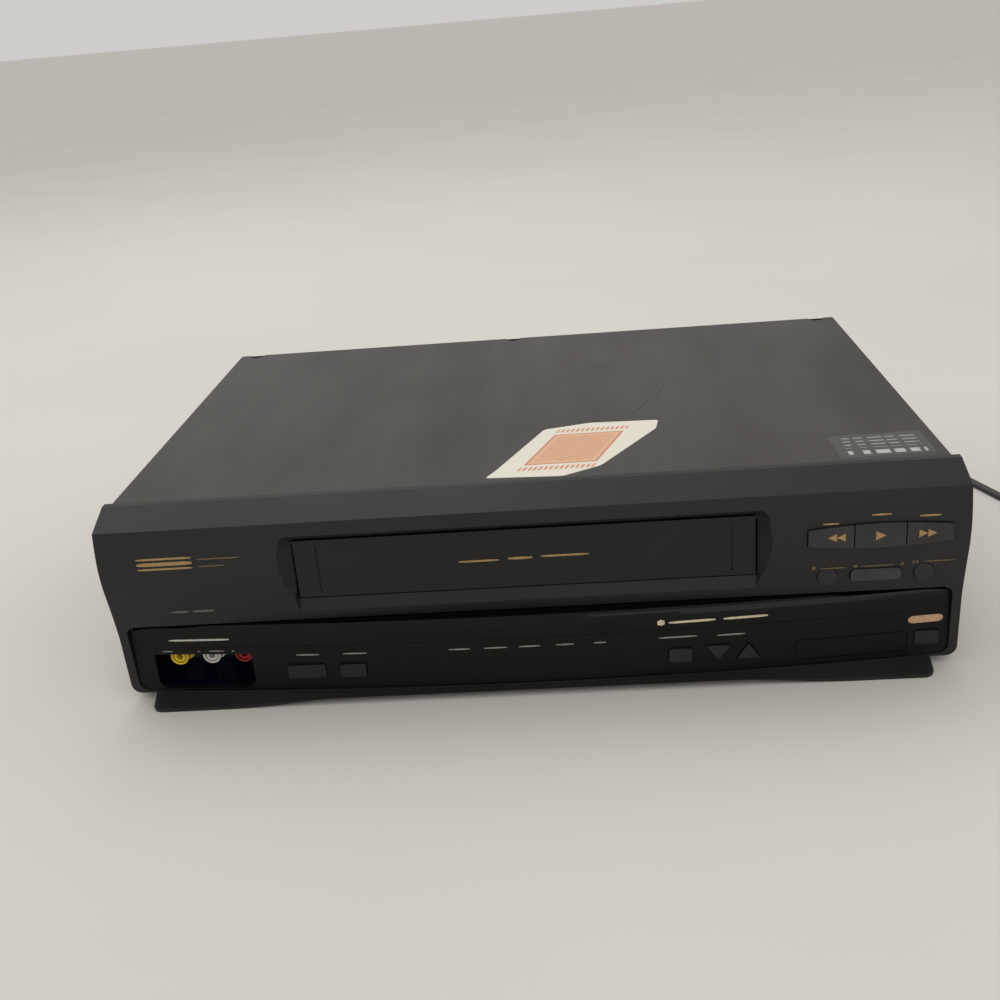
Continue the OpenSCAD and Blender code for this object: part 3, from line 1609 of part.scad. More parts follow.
module loading_motor() {
  can_r = motor_r;
  can_l = 22;
  front = motor_front;
  color([0.62, 0.63, 0.64]) deck() translate([worm_at[0], worm_at[1], worm_z]) difference() {
    union() {
      rod_y(0, 0, front, front + can_l, can_r);
      rod_y(0, 0, front - 1.4, front + small, 3.4);
      rod_y(0, 0, front + can_l - small, front + can_l + 2, 2.6);
      // Saddle under the can, and the worm's outer bearing
      block(-5, 5, front + 2, front + can_l - 2, deck_top - worm_z, -can_r + 1.5);
      block(-3.4, 3.4, -worm_half - 4.4, -worm_half - 1, deck_top - worm_z, 3.4);
    }
    rod_y(0, 0, -worm_half - 6, front + 4.4, worm_shaft_r + shaft_clear);
  }
}

module cam_gear() {
  gear_t = 2.5;
  low = worm_z - gear_t / 2;
  color([0.88, 0.87, 0.82]) deck() translate([cam_at[0], cam_at[1], 0]) difference() {
    union() {
      translate([0, 0, low]) rotate([0, 0, 180 + 180 / cam_teeth])
        gear(cam_teeth, cam_m, 0.45 * cam_m, 1.25 * cam_m, gear_t);
      post(0, 0, deck_top + 0.4, worm_z + 2.4, 5);
      post(0, 0, low - 3, low + small, 12);
    }
    post(0, 0, deck_top, worm_z + 5, shaft_r + shaft_clear);
    // Cam track in the upper face
    translate([2.4, 0, worm_z + 0.35]) difference() {
      cylinder(h = 3, r = 11.4);
      cylinder(h = 9, r = 8.6, center = true);
    }
    for (a = [20, 80, 140]) rotate([0, 0, a + 180]) {
      translate([9.4, 0, low - 4]) cylinder(h = 3, r = 1.4);
    }
  }
}

// A guide that draws the tape out: a sled in the deck's slot with a roller and a slanted pole
module tape_guide(side) {
  low = deck_top + 0.25;
  top = deck_top + 25;
  color([0.72, 0.73, 0.75]) deck() translate([side * guide_start[0], guide_start[1], 0])
    rotate([0, 0, -side * guide_angle]) {
      block(-6, 6, -6, 8, low, low + 3.6);
      block(-2.7, 2.7, -4, 4, deck_base - 0.6, low + small);
      block(-5, 5, -5.5, 5.5, deck_base - 1.3, deck_base - 0.25);
      post(0, -2, low + 3, top, 1.2);
      post(0, -2, low + 4.4, low + 5.8, 4.2);
      post(0, -2, low + 5.8, top - 3.2, 3);
      post(0, -2, top - 3.2, top - 1.8, 4.2);
      translate([-side * 1, 4.6, low + 3]) rotate([-8, -side * 14, 0])
        cylinder(h = top - low - 4.4, r = 1.3);
    }
}

module supply_guide() {
  tape_guide(-1);
}

module take_up_guide() {
  tape_guide(1);
}

// ---------------------------------------------------------------- heads

module erase_head() {
  spot = [-62, 152];
  color([0.7, 0.7, 0.71]) deck() translate([spot[0], spot[1], 0]) rotate([0, 0, 20]) {
    block(-7, 7, -4, 8, deck_top, deck_top + 3);
    block(-4.5, 4.5, -1, 5, deck_top + 3 - small, deck_top + 24);
    intersection() {
      post(0, 1.6, deck_top + 7, deck_top + 23, 5);
      block(-4.5, 4.5, -6, 0, deck_top + 5, deck_top + 25);
    }
    post(5, 5.6, deck_top + 3 - small, deck_top + 6, 1.6);
  }
}

module audio_head() {
  spot = [63, 177];
  color([0.73, 0.73, 0.74]) deck() translate([spot[0], spot[1], 0]) rotate([0, 0, -38]) {
    block(-9, 9, -6, 10, deck_top, deck_top + 2.6);
    for (p = [[-6, 7], [6, 7], [0, -3]]) {
      post(p[0], p[1], deck_top + 2.6 - small, deck_top + 6.5, 1.4);
    }
    block(-8, 8, -5.4, 9, deck_top + 4, deck_top + 5.6);
    block(-5.5, 5.5, -1.5, 6, deck_top + 5.6 - small, deck_top + 25);
    intersection() {
      post(0, 3.6, deck_top + 7, deck_top + 24.4, 7);
      block(-5.5, 5.5, -6, 0, deck_top + 6, deck_top + 25);
    }
  }
}

module tension_arm() {
  length = 23.3;
  low = deck_top + 0.4;
  color([0.72, 0.72, 0.73]) deck()
    translate([tension_pivot[0], tension_pivot[1], 0]) rotate([0, 0, -31]) difference() {
      union() {
        post(0, 0, low, deck_top + 8, 4);
        block(0, length, -2.2, 2.2, low, low + 1.6);
        post(length, 0, low, low + 1.6, 3);
        post(length, 0, low + 1, deck_top + 24, 1.6);
        post(length, 0, deck_top + 22.4, deck_top + 24, 2.8);
        rotate([0, 0, 118]) block(0, 11, -2, 2, low, low + 1.6);
      }
      post(0, 0, deck_top, deck_top + 10, shaft_r + shaft_clear);
      rotate([0, 0, 118]) post(8.6, 0, deck_top, low + 3, 0.8);
    }
}

// ---------------------------------------------------------------- mains lead

// A ring of the flat lead, at a point and square to a direction
function lead_ring(p, d, sides) =
  let (
    t = d / norm(d),
    across = cross([0, 0, 1], t) / norm(cross([0, 0, 1], t)),
    up = cross(t, across),
    top_angle = 360 / sides * (floor(sides / 4 - 0.5) + 0.5)
  )
  [for (k = [0 : sides - 1])
    let (a = 360 * (k + 0.5) / sides)
      p + across * lead_w / 2 * cos(a) + up * lead_t / 2 * sin(a) / sin(top_angle)];

module lead_tube(path, sides) {
  last = len(path) - 1;
  loft([
    for (i = [0 : last])
      lead_ring(path[i], path[min(i + 1, last)] - path[max(i - 1, 0)], sides)
  ]);
}

module strain_relief() {
  ribs = 5;
  color([0.07, 0.07, 0.07]) at() translate([lead_x, rear_y, lead_z]) rotate([-90, 0, 0])
    rotate_extrude() polygon(concat(
      [[0, -4], [6.4, -4], [6.4, -steel_t - 0.1], [4.9, -steel_t - 0.1], [4.9, 0.1],
        [6, 0.1], [6, 2.4]],
      [for (i = [0 : ribs - 1])
        let (z = 3.4 + i * 3.6, r = 5.6 - i * 0.42) each [[r - 1, z], [r - 1, z + 0.9],
          [r, z + 1.1], [r - 0.1, z + 3.3]]],
      [[3.3, relief_l - 1], [3.2, relief_l], [0, relief_l]]
    ));
}

// The coil: a flat spiral in, a climb onto the second layer at the middle, and a spiral out
coil_entry = [287, 136, lead_t / 2];
coil_reach = coil_r + loop_pitch * coil_loops;
coil_centre = [coil_entry[0] + coil_reach, coil_entry[1] - 6];
loop_rings = 24;
layer_rise = lead_t + 0.7;
turn_total = 720 * coil_loops;
plug_z = 7;
coil_tail = [[-1.4, -9, layer_rise + 0.2], [-4, -18, layer_rise + 1.2],
  [-6, -27, plug_z - lead_t / 2 - 0.4], [-6.6, -34, plug_z - lead_t / 2],
  [-6.6, -40, plug_z - lead_t / 2]];

lead_steps = 2;
lead_path = concat(
  [for (p = smooth(lead_points, lead_steps)) [p[0], p[1], max(p[2], lead_t / 2)]],
  [coil_entry]
);

module cord_lead() {
  color([0.08, 0.08, 0.08]) at() lead_tube(lead_path, 8);
}

function coil_point(a) =
  let (
    from_middle = a - turn_total / 2,
    r = coil_r + loop_pitch * abs(from_middle) / 360,
    climb = min(max((from_middle + 90) / 180, 0), 1)
  )
  [coil_centre[0] - r * cos(a), coil_centre[1] - r * sin(a), lead_t / 2 + climb * layer_rise];

coil_loop_path = [for (i = [0 : turn_total / 360 * loop_rings]) coil_point(i * 360 / loop_rings)];
coil_end = coil_loop_path[len(coil_loop_path) - 1];
tail_path = [for (p = coil_tail) [coil_end[0] + p[0], coil_end[1] + p[1], lead_t / 2 + p[2]]];
coil_path = concat([coil_entry], coil_loop_path, tail_path);

module cord_coil() {
  color([0.08, 0.08, 0.08]) at() lead_tube(coil_path, 6);
}

// Gap between two places on the coil, allowing for the lead's oval section
function oval_gap(a, b) =
  let (
    d = b - a,
    across = norm([d[0], d[1]]) / (lead_w / 2),
    up = d[2] / (lead_t / 2)
  )
  norm(d) * (1 - 2 / sqrt(across * across + up * up));

function path_length(p) = len(p) < 2 ? 0 : [for (i = [1 : len(p) - 1]) norm(p[i] - p[i - 1])]
  * [for (i = [1 : len(p) - 1]) 1];

coil_gap = min([
  for (i = [0 : len(coil_path) - 1], j = [i + loop_rings / 2 : len(coil_path) - 1])
    oval_gap(coil_path[i], coil_path[j])
]);
echo(coil_gap_mm = coil_gap, lead_mm = path_length(lead_path), coil_mm = path_length(coil_path));

// Two flat blades in a moulded grip, lying beside the coil
module plug() {
  end = tail_path[len(tail_path) - 1];
  grip_l = 30;
  blade_l = 16;
  blade_gap = 12.7;
  color([0.09, 0.09, 0.09]) at() translate([end[0], end[1], plug_z]) {
    difference() {
      translate([0, 0, -plug_z]) linear_extrude(2 * plug_z) polygon([
        [-3.6, 0], [3.6, 0], [5.4, -4], [9.6, -12], [11, -18], [11, -grip_l + 1],
        [10, -grip_l], [-10, -grip_l], [-11, -grip_l + 1], [-11, -18], [-9.6, -12],
        [-5.4, -4]
      ]);
      for (side = [-1, 1]) {
        translate([0, -4, side * (plug_z + 1.6)]) rotate([side * 16, 0, 0])
          translate([-12, -2, -3]) cube([24, 12, 6]);
        for (y = [-16 : -3.2 : -24]) {
          block(side * 11 - 0.6, side * 11 + 0.6, y - 0.7, y + 0.7, -plug_z - 1, plug_z + 1);
        }
      }
    }
    for (side = [-1, 1]) {
      difference() {
        block(side * blade_gap / 2 - 0.75, side * blade_gap / 2 + 0.75,
          -grip_l - blade_l, -grip_l + small, -3.2, 3.2);
        rod_x(-grip_l - blade_l + 3.2, 0, side * blade_gap / 2 - 2,
          side * blade_gap / 2 + 2, 1.5);
      }
    }
  }
}

// ---------------------------------------------------------------- the recorder

top_cover();
front_bezel();
control_panel();
display_window();
cassette_door();
bottom_chassis();
rear_panel();
rear_feet();
cover_screws();
power_button();
source_button();
tape_speed_button();
channel_down_button();
channel_up_button();
auto_return_button();
rewind_button();
play_button();
fast_forward_button();
record_button();
stop_eject_button();
pause_button();
front_board();
tact_switches();
front_video_jack();
front_audio_left_jack();
front_audio_right_jack();
main_board();
power_board();
power_transformer();
tuner_module();
rear_video_jacks();
rear_audio_left_jacks();
rear_audio_right_jacks();
deck_plate();
side_bracket_left();
side_bracket_right();
holder_slides();
cassette_holder();
lift_shaft();
lower_drum();
upper_drum();
capstan();
pinch_lever();
pinch_roller();
supply_reel();
take_up_reel();
idler_gear();
drive_belt();
loading_motor();
loading_worm();
cam_gear();
supply_guide();
take_up_guide();
erase_head();
audio_head();
tension_arm();
strain_relief();
cord_lead();
cord_coil();
plug();
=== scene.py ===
"""Finishes, prints, labels and loose parts of a front-loading video cassette recorder."""
import math

import bmesh
import bpy
from bpy.props import FloatProperty, FloatVectorProperty, PointerProperty
from mathutils import Matrix, Vector


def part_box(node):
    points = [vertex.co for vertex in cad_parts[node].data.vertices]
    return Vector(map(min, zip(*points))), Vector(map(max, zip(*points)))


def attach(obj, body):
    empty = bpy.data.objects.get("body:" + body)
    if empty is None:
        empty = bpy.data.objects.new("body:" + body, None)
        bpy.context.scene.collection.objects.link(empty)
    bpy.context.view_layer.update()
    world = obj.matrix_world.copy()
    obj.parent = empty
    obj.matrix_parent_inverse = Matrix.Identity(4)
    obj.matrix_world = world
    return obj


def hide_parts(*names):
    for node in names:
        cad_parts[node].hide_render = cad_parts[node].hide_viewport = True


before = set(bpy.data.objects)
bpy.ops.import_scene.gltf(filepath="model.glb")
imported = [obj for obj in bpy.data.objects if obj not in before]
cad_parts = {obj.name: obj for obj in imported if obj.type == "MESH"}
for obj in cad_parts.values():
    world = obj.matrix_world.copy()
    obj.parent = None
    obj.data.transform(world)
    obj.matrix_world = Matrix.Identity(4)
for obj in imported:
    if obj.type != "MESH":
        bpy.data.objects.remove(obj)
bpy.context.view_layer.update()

bl_info = {
    "name": "Video Cassette Recorder",
    "version": (1, 0, 0),
    "blender": (4, 5, 0),
    "location": "View3D > Sidebar > Recorder",
    "description": "Dresses a packed video cassette recorder and sets its stage",
    "category": "Object",
}

# The recorder was measured in millimetres from its bezel's top front edge, which lies here
EDGE_Y = -133.15
BOW_RADIUS = 1950.0
BOW_FRONT = 2.7
LID_Z = 95.0
COVER_HALF = 187.4
COVER_BACK = 264
NOTCH_XS = (-176, -12, 176)
SIDE_SCREW_Z = 12.2
BACK_SCREW_Z = 87
RECESS_X = (-0.1765, -0.1285)
RECESS_Z = (0.0061, 0.0245)
RECESS_FRONT = 6.3
LEAD_EXIT = (148, 262.8, 30)
SHEATH_REST = 1.4             # height of the lead's middle line where it lies on the floor
PLUG_BODY = 30.05             # length of the plug's moulding
PRINTED_LABEL = (24.5, 57)    # middle of the printed label
PRINTED_SLANT = 0.36


# ------------------------------------------------------------------ places

def place(x, y, z):
    """A point in metres from millimetres counted from the bezel's top front edge."""
    return Vector((x, y + EDGE_Y, z)) / 1000


def panel_y(x):
    """Depth of the bowed lower panel."""
    return BOW_RADIUS - math.sqrt(BOW_RADIUS * BOW_RADIUS - x * x) - BOW_FRONT


def spline(points, steps):
    """The same smooth curve through the points as the solids follow."""
    points = [Vector(p) for p in points]
    last = len(points) - 1
    out = []
    for i in range(last):
        a, b, c, d = (points[max(i - 1, 0)], points[i], points[i + 1], points[min(i + 2, last)])
        for k in range(steps):
            t = k / steps
            out.append(b + t * (c - a) / 2 + t * t * (2 * a - 5 * b + 4 * c - d) / 2
                       + t ** 3 * (3 * b - a - 3 * c + d) / 2)
    return out + [points[-1]]


FACE = spline([(5.4, 4, 0), (5.2, 13, 0), (4.6, 23, 0), (4, 34, 0), (2.4, 44, 0), (0.3, 54, 0),
               (-1.6, 63, 0), (-2.3, 72, 0), (-1.6, 80, 0), (0, 88.8, 0)], 3)


def face_y(z):
    """Depth of the upper front at a height."""
    for low, high in zip(FACE, FACE[1:]):
        if z <= high.y:
            return low.x + (high.x - low.x) * (z - low.y) / (high.y - low.y)
    return FACE[-1].x


def cap_y(node):
    """Depth of a button's foremost point."""
    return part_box(node)[0].y * 1000 - EDGE_Y


# ------------------------------------------------------------------ shader maths

class Signal:
    """A socket in a finish; arithmetic on it adds Math nodes."""

    def __init__(self, finish, socket):
        self.finish = finish
        self.socket = socket

    def math(self, operation, *values):
        return self.finish.node("ShaderNodeMath", {"operation": operation}, dict(enumerate(values)))

    def __add__(self, other):
        return self.math("ADD", self, other)

    def __sub__(self, other):
        return self.math("SUBTRACT", self, other)

    def __rsub__(self, other):
        return self.math("SUBTRACT", other, self)

    def __mul__(self, other):
        return self.math("MULTIPLY", self, other)

    def __abs__(self):
        return self.math("ABSOLUTE", self)

    def __gt__(self, other):
        return self.math("GREATER_THAN", self, other)

    def __lt__(self, other):
        return self.math("LESS_THAN", self, other)

    def fade(self, low, high):
        """0 below low, 1 above high and smooth between."""
        return self.finish.node("ShaderNodeMapRange", {"interpolation_type": "SMOOTHSTEP"},
                                {"Value": self, "From Min": low, "From Max": high})

    def between(self, low, high):
        return (self > low) * (self < high)


class Finish:
    """A procedural material round one Principled shader."""

    def __init__(self, name, color, rough=0.5, metal=0.0, **fixed):
        self.material = bpy.data.materials.new(name)
        self.material.use_nodes = True
        self.tree = self.material.node_tree
        self.shader = self.tree.nodes["Principled BSDF"]
        self.shader.inputs["Base Color"].default_value = (*color[:3], 1)
        self.shader.inputs["Roughness"].default_value = rough
        self.shader.inputs["Metallic"].default_value = metal
        for socket, value in fixed.items():
            self.shader.inputs[socket.replace("_", " ")].default_value = value
        self.material.diffuse_color = (*color[:3], 1)
        self.where = None

    def node(self, kind, settings=None, values=None, out=0):
        made = self.tree.nodes.new(kind)
        for key, value in (settings or {}).items():
            setattr(made, key, value)
        for key, value in (values or {}).items():
            if isinstance(value, Signal):
                self.tree.links.new(value.socket, made.inputs[key])
            else:
                made.inputs[key].default_value = value
        return Signal(self, made.outputs[out])

    def spot(self):
        """Where a point of the surface is, in metres."""
        if self.where is None:
            self.where = self.node("ShaderNodeTexCoord", out="Object")
        return self.where

    def axis(self, name):
        return self.node("ShaderNodeSeparateXYZ", None, {0: self.spot()}, name)

    def noise(self, scale, detail=2.0, rough=0.5, stretch=None):
        at = self.spot()
        if stretch:
            at = self.node("ShaderNodeVectorMath", {"operation": "MULTIPLY"}, {0: at, 1: stretch})
        return self.node("ShaderNodeTexNoise", None,
                         {"Vector": at, "Scale": scale, "Detail": detail, "Roughness": rough})

    def cells(self, scale):
        return self.node("ShaderNodeTexVoronoi", None, {"Vector": self.spot(), "Scale": scale})

    def mix(self, factor, a, b):
        a, b = ((*c, 1) if isinstance(c, tuple) and len(c) == 3 else c for c in (a, b))
        return self.node("ShaderNodeMix", {"data_type": "RGBA"}, {0: factor, 6: a, 7: b}, 2)

    def blend(self, factor, a, b):
        """A number that goes from a to b with the factor."""
        return factor * (b - a) + a

    def put(self, **signals):
        for name, signal in signals.items():
            self.tree.links.new(signal.socket, self.shader.inputs[name.replace("_", " ")])
        return self

    def bump(self, height, depth, strength=1.0):
        """Raises the surface by depth metres where height is 1."""
        self.put(Normal=self.node("ShaderNodeBump", None,
                                  {"Strength": strength, "Distance": depth, "Height": height}))
        return self

    def line(self, a, b, width):
        """1 on a straight scratch between two points (x, y), in metres."""
        x, y = self.axis("X"), self.axis("Y")
        length = math.dist(a, b)
        dx, dy = (b[0] - a[0]) / length, (b[1] - a[1]) / length
        along = (x - a[0]) * dx + (y - a[1]) * dy
        wander = (self.noise(60, 2) - 0.5) * 0.006
        across = abs((y - a[1]) * dx - (x - a[0]) * dy + wander)
        return (1 - across.fade(width * 0.5, width)) * along.between(0, length)


def shade(color, factor):
    return tuple(min(1.0, c * factor) for c in color[:3])


# ------------------------------------------------------------------ settings

def tint(name, description, default):
    return FloatVectorProperty(name=name, description=description, default=default, size=3,
                               min=0, max=1, subtype="COLOR")


def size(name, description, default):
    return FloatProperty(name=name, description=description, default=default, min=0, soft_max=1,
                         unit="LENGTH", subtype="DISTANCE")


class CasingLook(bpy.types.PropertyGroup):
    """Colours of the casing and the rounding of its edges."""
    lid: tint("Cover paint", "Brownish grey paint of the steel cover", (0.0425, 0.0385, 0.0345))
    bezel: tint("Bezel plastic", "Charcoal moulding of the front", (0.0160, 0.0163, 0.0168))
    panel: tint("Panel plastic", "Black of the lower panel", (0.0036, 0.0036, 0.0038))
    window: tint("Smoked window", "Deep black of the polished window", (0.0006, 0.0008, 0.0014))
    door: tint("Door plastic", "Charcoal of the cassette door", (0.0105, 0.0105, 0.0105))
    button: tint("Button plastic", "Satin grey of the buttons", (0.0140, 0.0142, 0.0148))
    rounding: size("Edge rounding", "Radius on the casing's outer edges", 0.00035)


class PrintLook(bpy.types.PropertyGroup):
    """Colours of the printed marks and the two labels, and the thickness of the ink."""
    gold: tint("Gold ink", "Ink of the symbols and rules", (0.42, 0.27, 0.10))
    pale: tint("Pale ink", "Ink of the small marks on the window and panel", (0.55, 0.53, 0.47))
    badge: tint("Badge", "Peach ink of the badge and the label's field", (0.62, 0.38, 0.22))
    label: tint("Label orange", "Orange of the printed label on the cover", (0.74, 0.23, 0.09))
    ink: size("Ink thickness", "How far a printed mark stands proud", 0.00005)


class LeadLook(bpy.types.PropertyGroup):
    """Colour and section of the flat mains lead."""
    sheath: tint("Sheath", "Black of the lead's sheath", (0.018, 0.018, 0.018))
    width: size("Width", "Width of the flat twin lead", 0.0054)
    thickness: size("Thickness", "Thickness of the flat twin lead", 0.0028)


class StageLook(bpy.types.PropertyGroup):
    """Colour of the floor and power of the two lamps."""
    floor: tint("Floor", "Pale floor", (0.80, 0.765, 0.715))
    key: FloatProperty(name="Key light", description="Power of the large soft lamp", default=9,
                       min=0, unit="POWER")
    fill: FloatProperty(name="Fill light", description="Power of the front lamp", default=3,
                        min=0, unit="POWER")


def settings(context):
    return context.scene.recorder_casing, context.scene.recorder_print


# ------------------------------------------------------------------ mesh helpers

def new_piece(name, bm, finish, body, smooth=True):
    """Turns a bmesh into an object that rides on a body and is drawn in a finish."""
    mesh = bpy.data.meshes.new(name)
    bmesh.ops.recalc_face_normals(bm, faces=bm.faces)
    bm.to_mesh(mesh)
    bm.free()
    for polygon in mesh.polygons:
        polygon.use_smooth = smooth
    piece = bpy.data.objects.new(name, mesh)
    bpy.context.collection.objects.link(piece)
    mesh.materials.append(finish.material)
    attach(piece, body)
    return piece


def soften(piece, radius, angle=32):
    """Rounds the hard edges of a piece or a CAD node."""
    rounding = piece.modifiers.new("Rounding", "BEVEL")
    rounding.width = radius
    rounding.segments = 2
    rounding.limit_method = "ANGLE"
    rounding.angle_limit = math.radians(angle)
    rounding.harden_normals = True
    rounding.use_clamp_overlap = True
    return piece


def paint(node, finish):
    """Gives a CAD node its finish."""
    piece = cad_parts[node]
    if not piece.material_slots:
        piece.data.materials.append(finish.material)
    for slot in piece.material_slots:
        slot.link = "OBJECT"
        slot.material = finish.material
    return piece


def sweep(bm, path, ring):
    """A closed tube that carries a ring of (across, up) points along a path of points."""
    rows = []
    last = len(path) - 1
    for i, p in enumerate(path):
        along = (path[min(i + 1, last)] - path[max(i - 1, 0)]).normalized()
        across = Vector((0, 0, 1)).cross(along).normalized()
        up = along.cross(across)
        rows.append([bm.verts.new(p + across * a + up * b) for a, b in ring])
    for near, far in zip(rows, rows[1:]):
        for k in range(len(ring)):
            j = (k + 1) % len(ring)
            bm.faces.new((near[k], near[j], far[j], far[k]))
    bm.faces.new(rows[0][::-1])
    bm.faces.new(rows[-1])


def lathe(bm, profile, centre, direction, steps=40):
    """Spins (radius, height) points about a line."""
    turn = Vector((0, 0, 1)).rotation_difference(direction.normalized()).to_matrix()
    rows = []
    for r, h in profile:
        if r < 1e-7:
            rows.append([bm.verts.new(centre + turn @ Vector((0, 0, h)))])
        else:
            rows.append([bm.verts.new(centre + turn @ Vector((r * math.cos(a), r * math.sin(a), h)))
                         for a in (math.tau * k / steps for k in range(steps))])
    for a, b in zip(rows, rows[1:]):
        for k in range(steps):
            j = (k + 1) % steps
            corner = [a[k % len(a)], a[j % len(a)], b[j % len(b)], b[k % len(b)]]
            corner = [v for i, v in enumerate(corner) if v not in corner[:i]]
            if len(corner) > 2:
                bm.faces.new(corner)


def slab(bm, low, high):
    """A box between two corners in millimetres."""
    a, b = place(*low), place(*high)
    verts = [bm.verts.new((x, y, z)) for x in (a.x, b.x) for y in (a.y, b.y) for z in (a.z, b.z)]
    for face in ((0, 1, 3, 2), (4, 6, 7, 5), (0, 4, 5, 1), (2, 3, 7, 6), (0, 2, 6, 4),
                 (1, 5, 7, 3)):
        bm.faces.new([verts[i] for i in face])


def print_strip(bm, columns, depth, ink):
    """A mark that follows a surface: columns of (x, low, high), and depth(x, z) of the surface."""
    for (x0, a0, b0), (x1, a1, b1) in zip(columns, columns[1:]):
        front, back = [], []
        for x, z in ((x0, a0), (x1, a1), (x1, b1), (x0, b0)):
            y = depth(x, z)
            front.append(place(x, y - ink * 1000, z))
            back.append(place(x, y + 0.05, z))
        f = [bm.verts.new(p) for p in front]
        g = [bm.verts.new(p) for p in back]
        bm.faces.new(f)
        bm.faces.new(g[::-1])
        for i in range(4):
            j = (i + 1) % 4
            bm.faces.new((f[j], f[i], g[i], g[j]))


def rule(x0, x1, z, height, slope=0.0):
    """Columns of a straight rule with softly narrowed ends."""
    steps = max(2, int((x1 - x0) / 3))
    out = []
    for i in range(steps + 1):
        x = x0 + (x1 - x0) * i / steps
        half = height / 2 * (0.55 if i in (0, steps) else 1)
        middle = z + slope * (x - x0)
        out.append((x, middle - half, middle + half))
    return out


def triangle(x0, x1, z, height):
    """Columns of a triangle whose point is at x1."""
    return [(x0, z - height / 2, z + height / 2), (x1, z - 0.02, z + 0.02)]


def upright(x, z, width, height, way):
    """Columns of a triangle that points up or down."""
    tip, base = z + way * height / 2, z - way * height / 2
    low, high = min(tip, base), max(tip, base)
    if way > 0:
        return [(x - width / 2, low, low + 0.02), (x, low, high), (x + width / 2, low, low + 0.02)]
    return [(x - width / 2, high - 0.02, high), (x, low, high), (x + width / 2, high - 0.02, high)]


def disc(x, z, r):
    """Columns of a round dot."""
    out = []
    for i in range(9):
        a = math.pi * i / 8
        half = max(r * math.sin(a), 0.01)
        out.append((x - r * math.cos(a), z - half, z + half))
    return out


# ------------------------------------------------------------------ finishes

def cover_paint(look):
    """Textured paint with faint cloudy wear, dust and one old scratch."""
    finish = Finish("cover paint", look.lid, rough=0.5, Specular_IOR_Level=0.4)
    grain = finish.noise(1400, 2, 0.6)
    cloud = finish.noise(7, 4, 0.55)
    smear = finish.noise(18, 3, 0.6, (1, 0.25, 1))
    dust = finish.cells(160) < 0.055
    dust = dust * finish.noise(25, 1).fade(0.52, 0.6)
    scratch = finish.line((0.054, 0.0995 + EDGE_Y / 1000), (0.0735, 0.146 + EDGE_Y / 1000), 0.00075)
    scratch = scratch * finish.noise(45, 2).fade(0.36, 0.5)
    color = finish.mix(cloud.fade(0.3, 0.7), shade(look.lid, 0.88), shade(look.lid, 1.12))
    color = finish.mix(grain.fade(0.35, 0.7) * 0.35, color, shade(look.lid, 1.5))
    color = finish.mix(dust * 0.5, color, (0.3, 0.29, 0.27))
    color = finish.mix(scratch * 0.85, color, (0.012, 0.012, 0.012))
    finish.put(Base_Color=color,
               Roughness=finish.blend(smear.fade(0.3, 0.75), 0.40, 0.56) + grain * 0.1)
    return finish.bump(grain - scratch * 2, 0.00006, 0.7)


def bezel_plastic(look):
    """Fine grained moulding with a light fleck."""
    finish = Finish("bezel plastic", look.bezel, rough=0.45, Specular_IOR_Level=0.3)
    grain = finish.noise(1700, 2, 0.6)
    fleck = finish.noise(3200, 1, 0.5).fade(0.6, 0.75)
    cloud = finish.noise(11, 3)
    color = finish.mix(cloud.fade(0.3, 0.7), shade(look.bezel, 0.9), shade(look.bezel, 1.1))
    color = finish.mix(fleck * 0.4, color, shade(look.bezel, 3.0))
    finish.put(Base_Color=color,
               Roughness=finish.blend(cloud.fade(0.3, 0.7), 0.36, 0.46) + grain * 0.08)
    return finish.bump(grain, 0.00004, 0.6)


def panel_plastic(look):
    """Satin black, and a polished navy skin inside the socket recess."""
    finish = Finish("panel plastic", look.panel, rough=0.4, Specular_IOR_Level=0.2)
    grain = finish.noise(1500, 2, 0.6)
    fleck = finish.noise(2800, 1).fade(0.62, 0.78)
    x, y, z = finish.axis("X"), finish.axis("Y"), finish.axis("Z")
    inside = x.between(*RECESS_X) * z.between(*RECESS_Z)
    inside = inside * (y > (RECESS_FRONT + EDGE_Y) / 1000)
    color = finish.mix(fleck * 0.35, look.panel[:], shade(look.panel, 3.5))
    color = finish.mix(inside, color, (0.002, 0.003, 0.009))
    rough = finish.blend(grain, 0.36, 0.48)
    finish.put(Base_Color=color, Roughness=rough * (1 - inside) + inside * 0.1)
    return finish.bump(grain * (1 - inside), 0.00004, 0.5)


def smoked_window(look):
    """Polished smoked acrylic with a few fine hairlines."""
    finish = Finish("smoked window", look.window, rough=0.05, Specular_IOR_Level=0.24)
    hair = finish.noise(700, 2, 0.6, (0.15, 1, 1)).fade(0.62, 0.8)
    haze = finish.noise(14, 3).fade(0.35, 0.75)
    finish.put(Base_Color=finish.mix(haze * 0.25, look.window[:], (0.0022, 0.0026, 0.0036)),
               Roughness=finish.blend(haze, 0.03, 0.07) + hair * 0.06)
    return finish.bump(hair, 0.000004, 0.3)


def door_plastic(look):
    """Fine grained charcoal, a little smoother than the bezel."""
    finish = Finish("door plastic", look.door, rough=0.4, Specular_IOR_Level=0.3)
    grain = finish.noise(1900, 2, 0.6)
    cloud = finish.noise(14, 3)
    color = finish.mix(cloud.fade(0.3, 0.7), shade(look.door, 0.92), shade(look.door, 1.1))
    color = finish.mix(finish.noise(3000, 1).fade(0.6, 0.78) * 0.35, color, shade(look.door, 2.6))
    finish.put(Base_Color=color, Roughness=finish.blend(grain, 0.36, 0.48))
    return finish.bump(grain, 0.00003, 0.5)


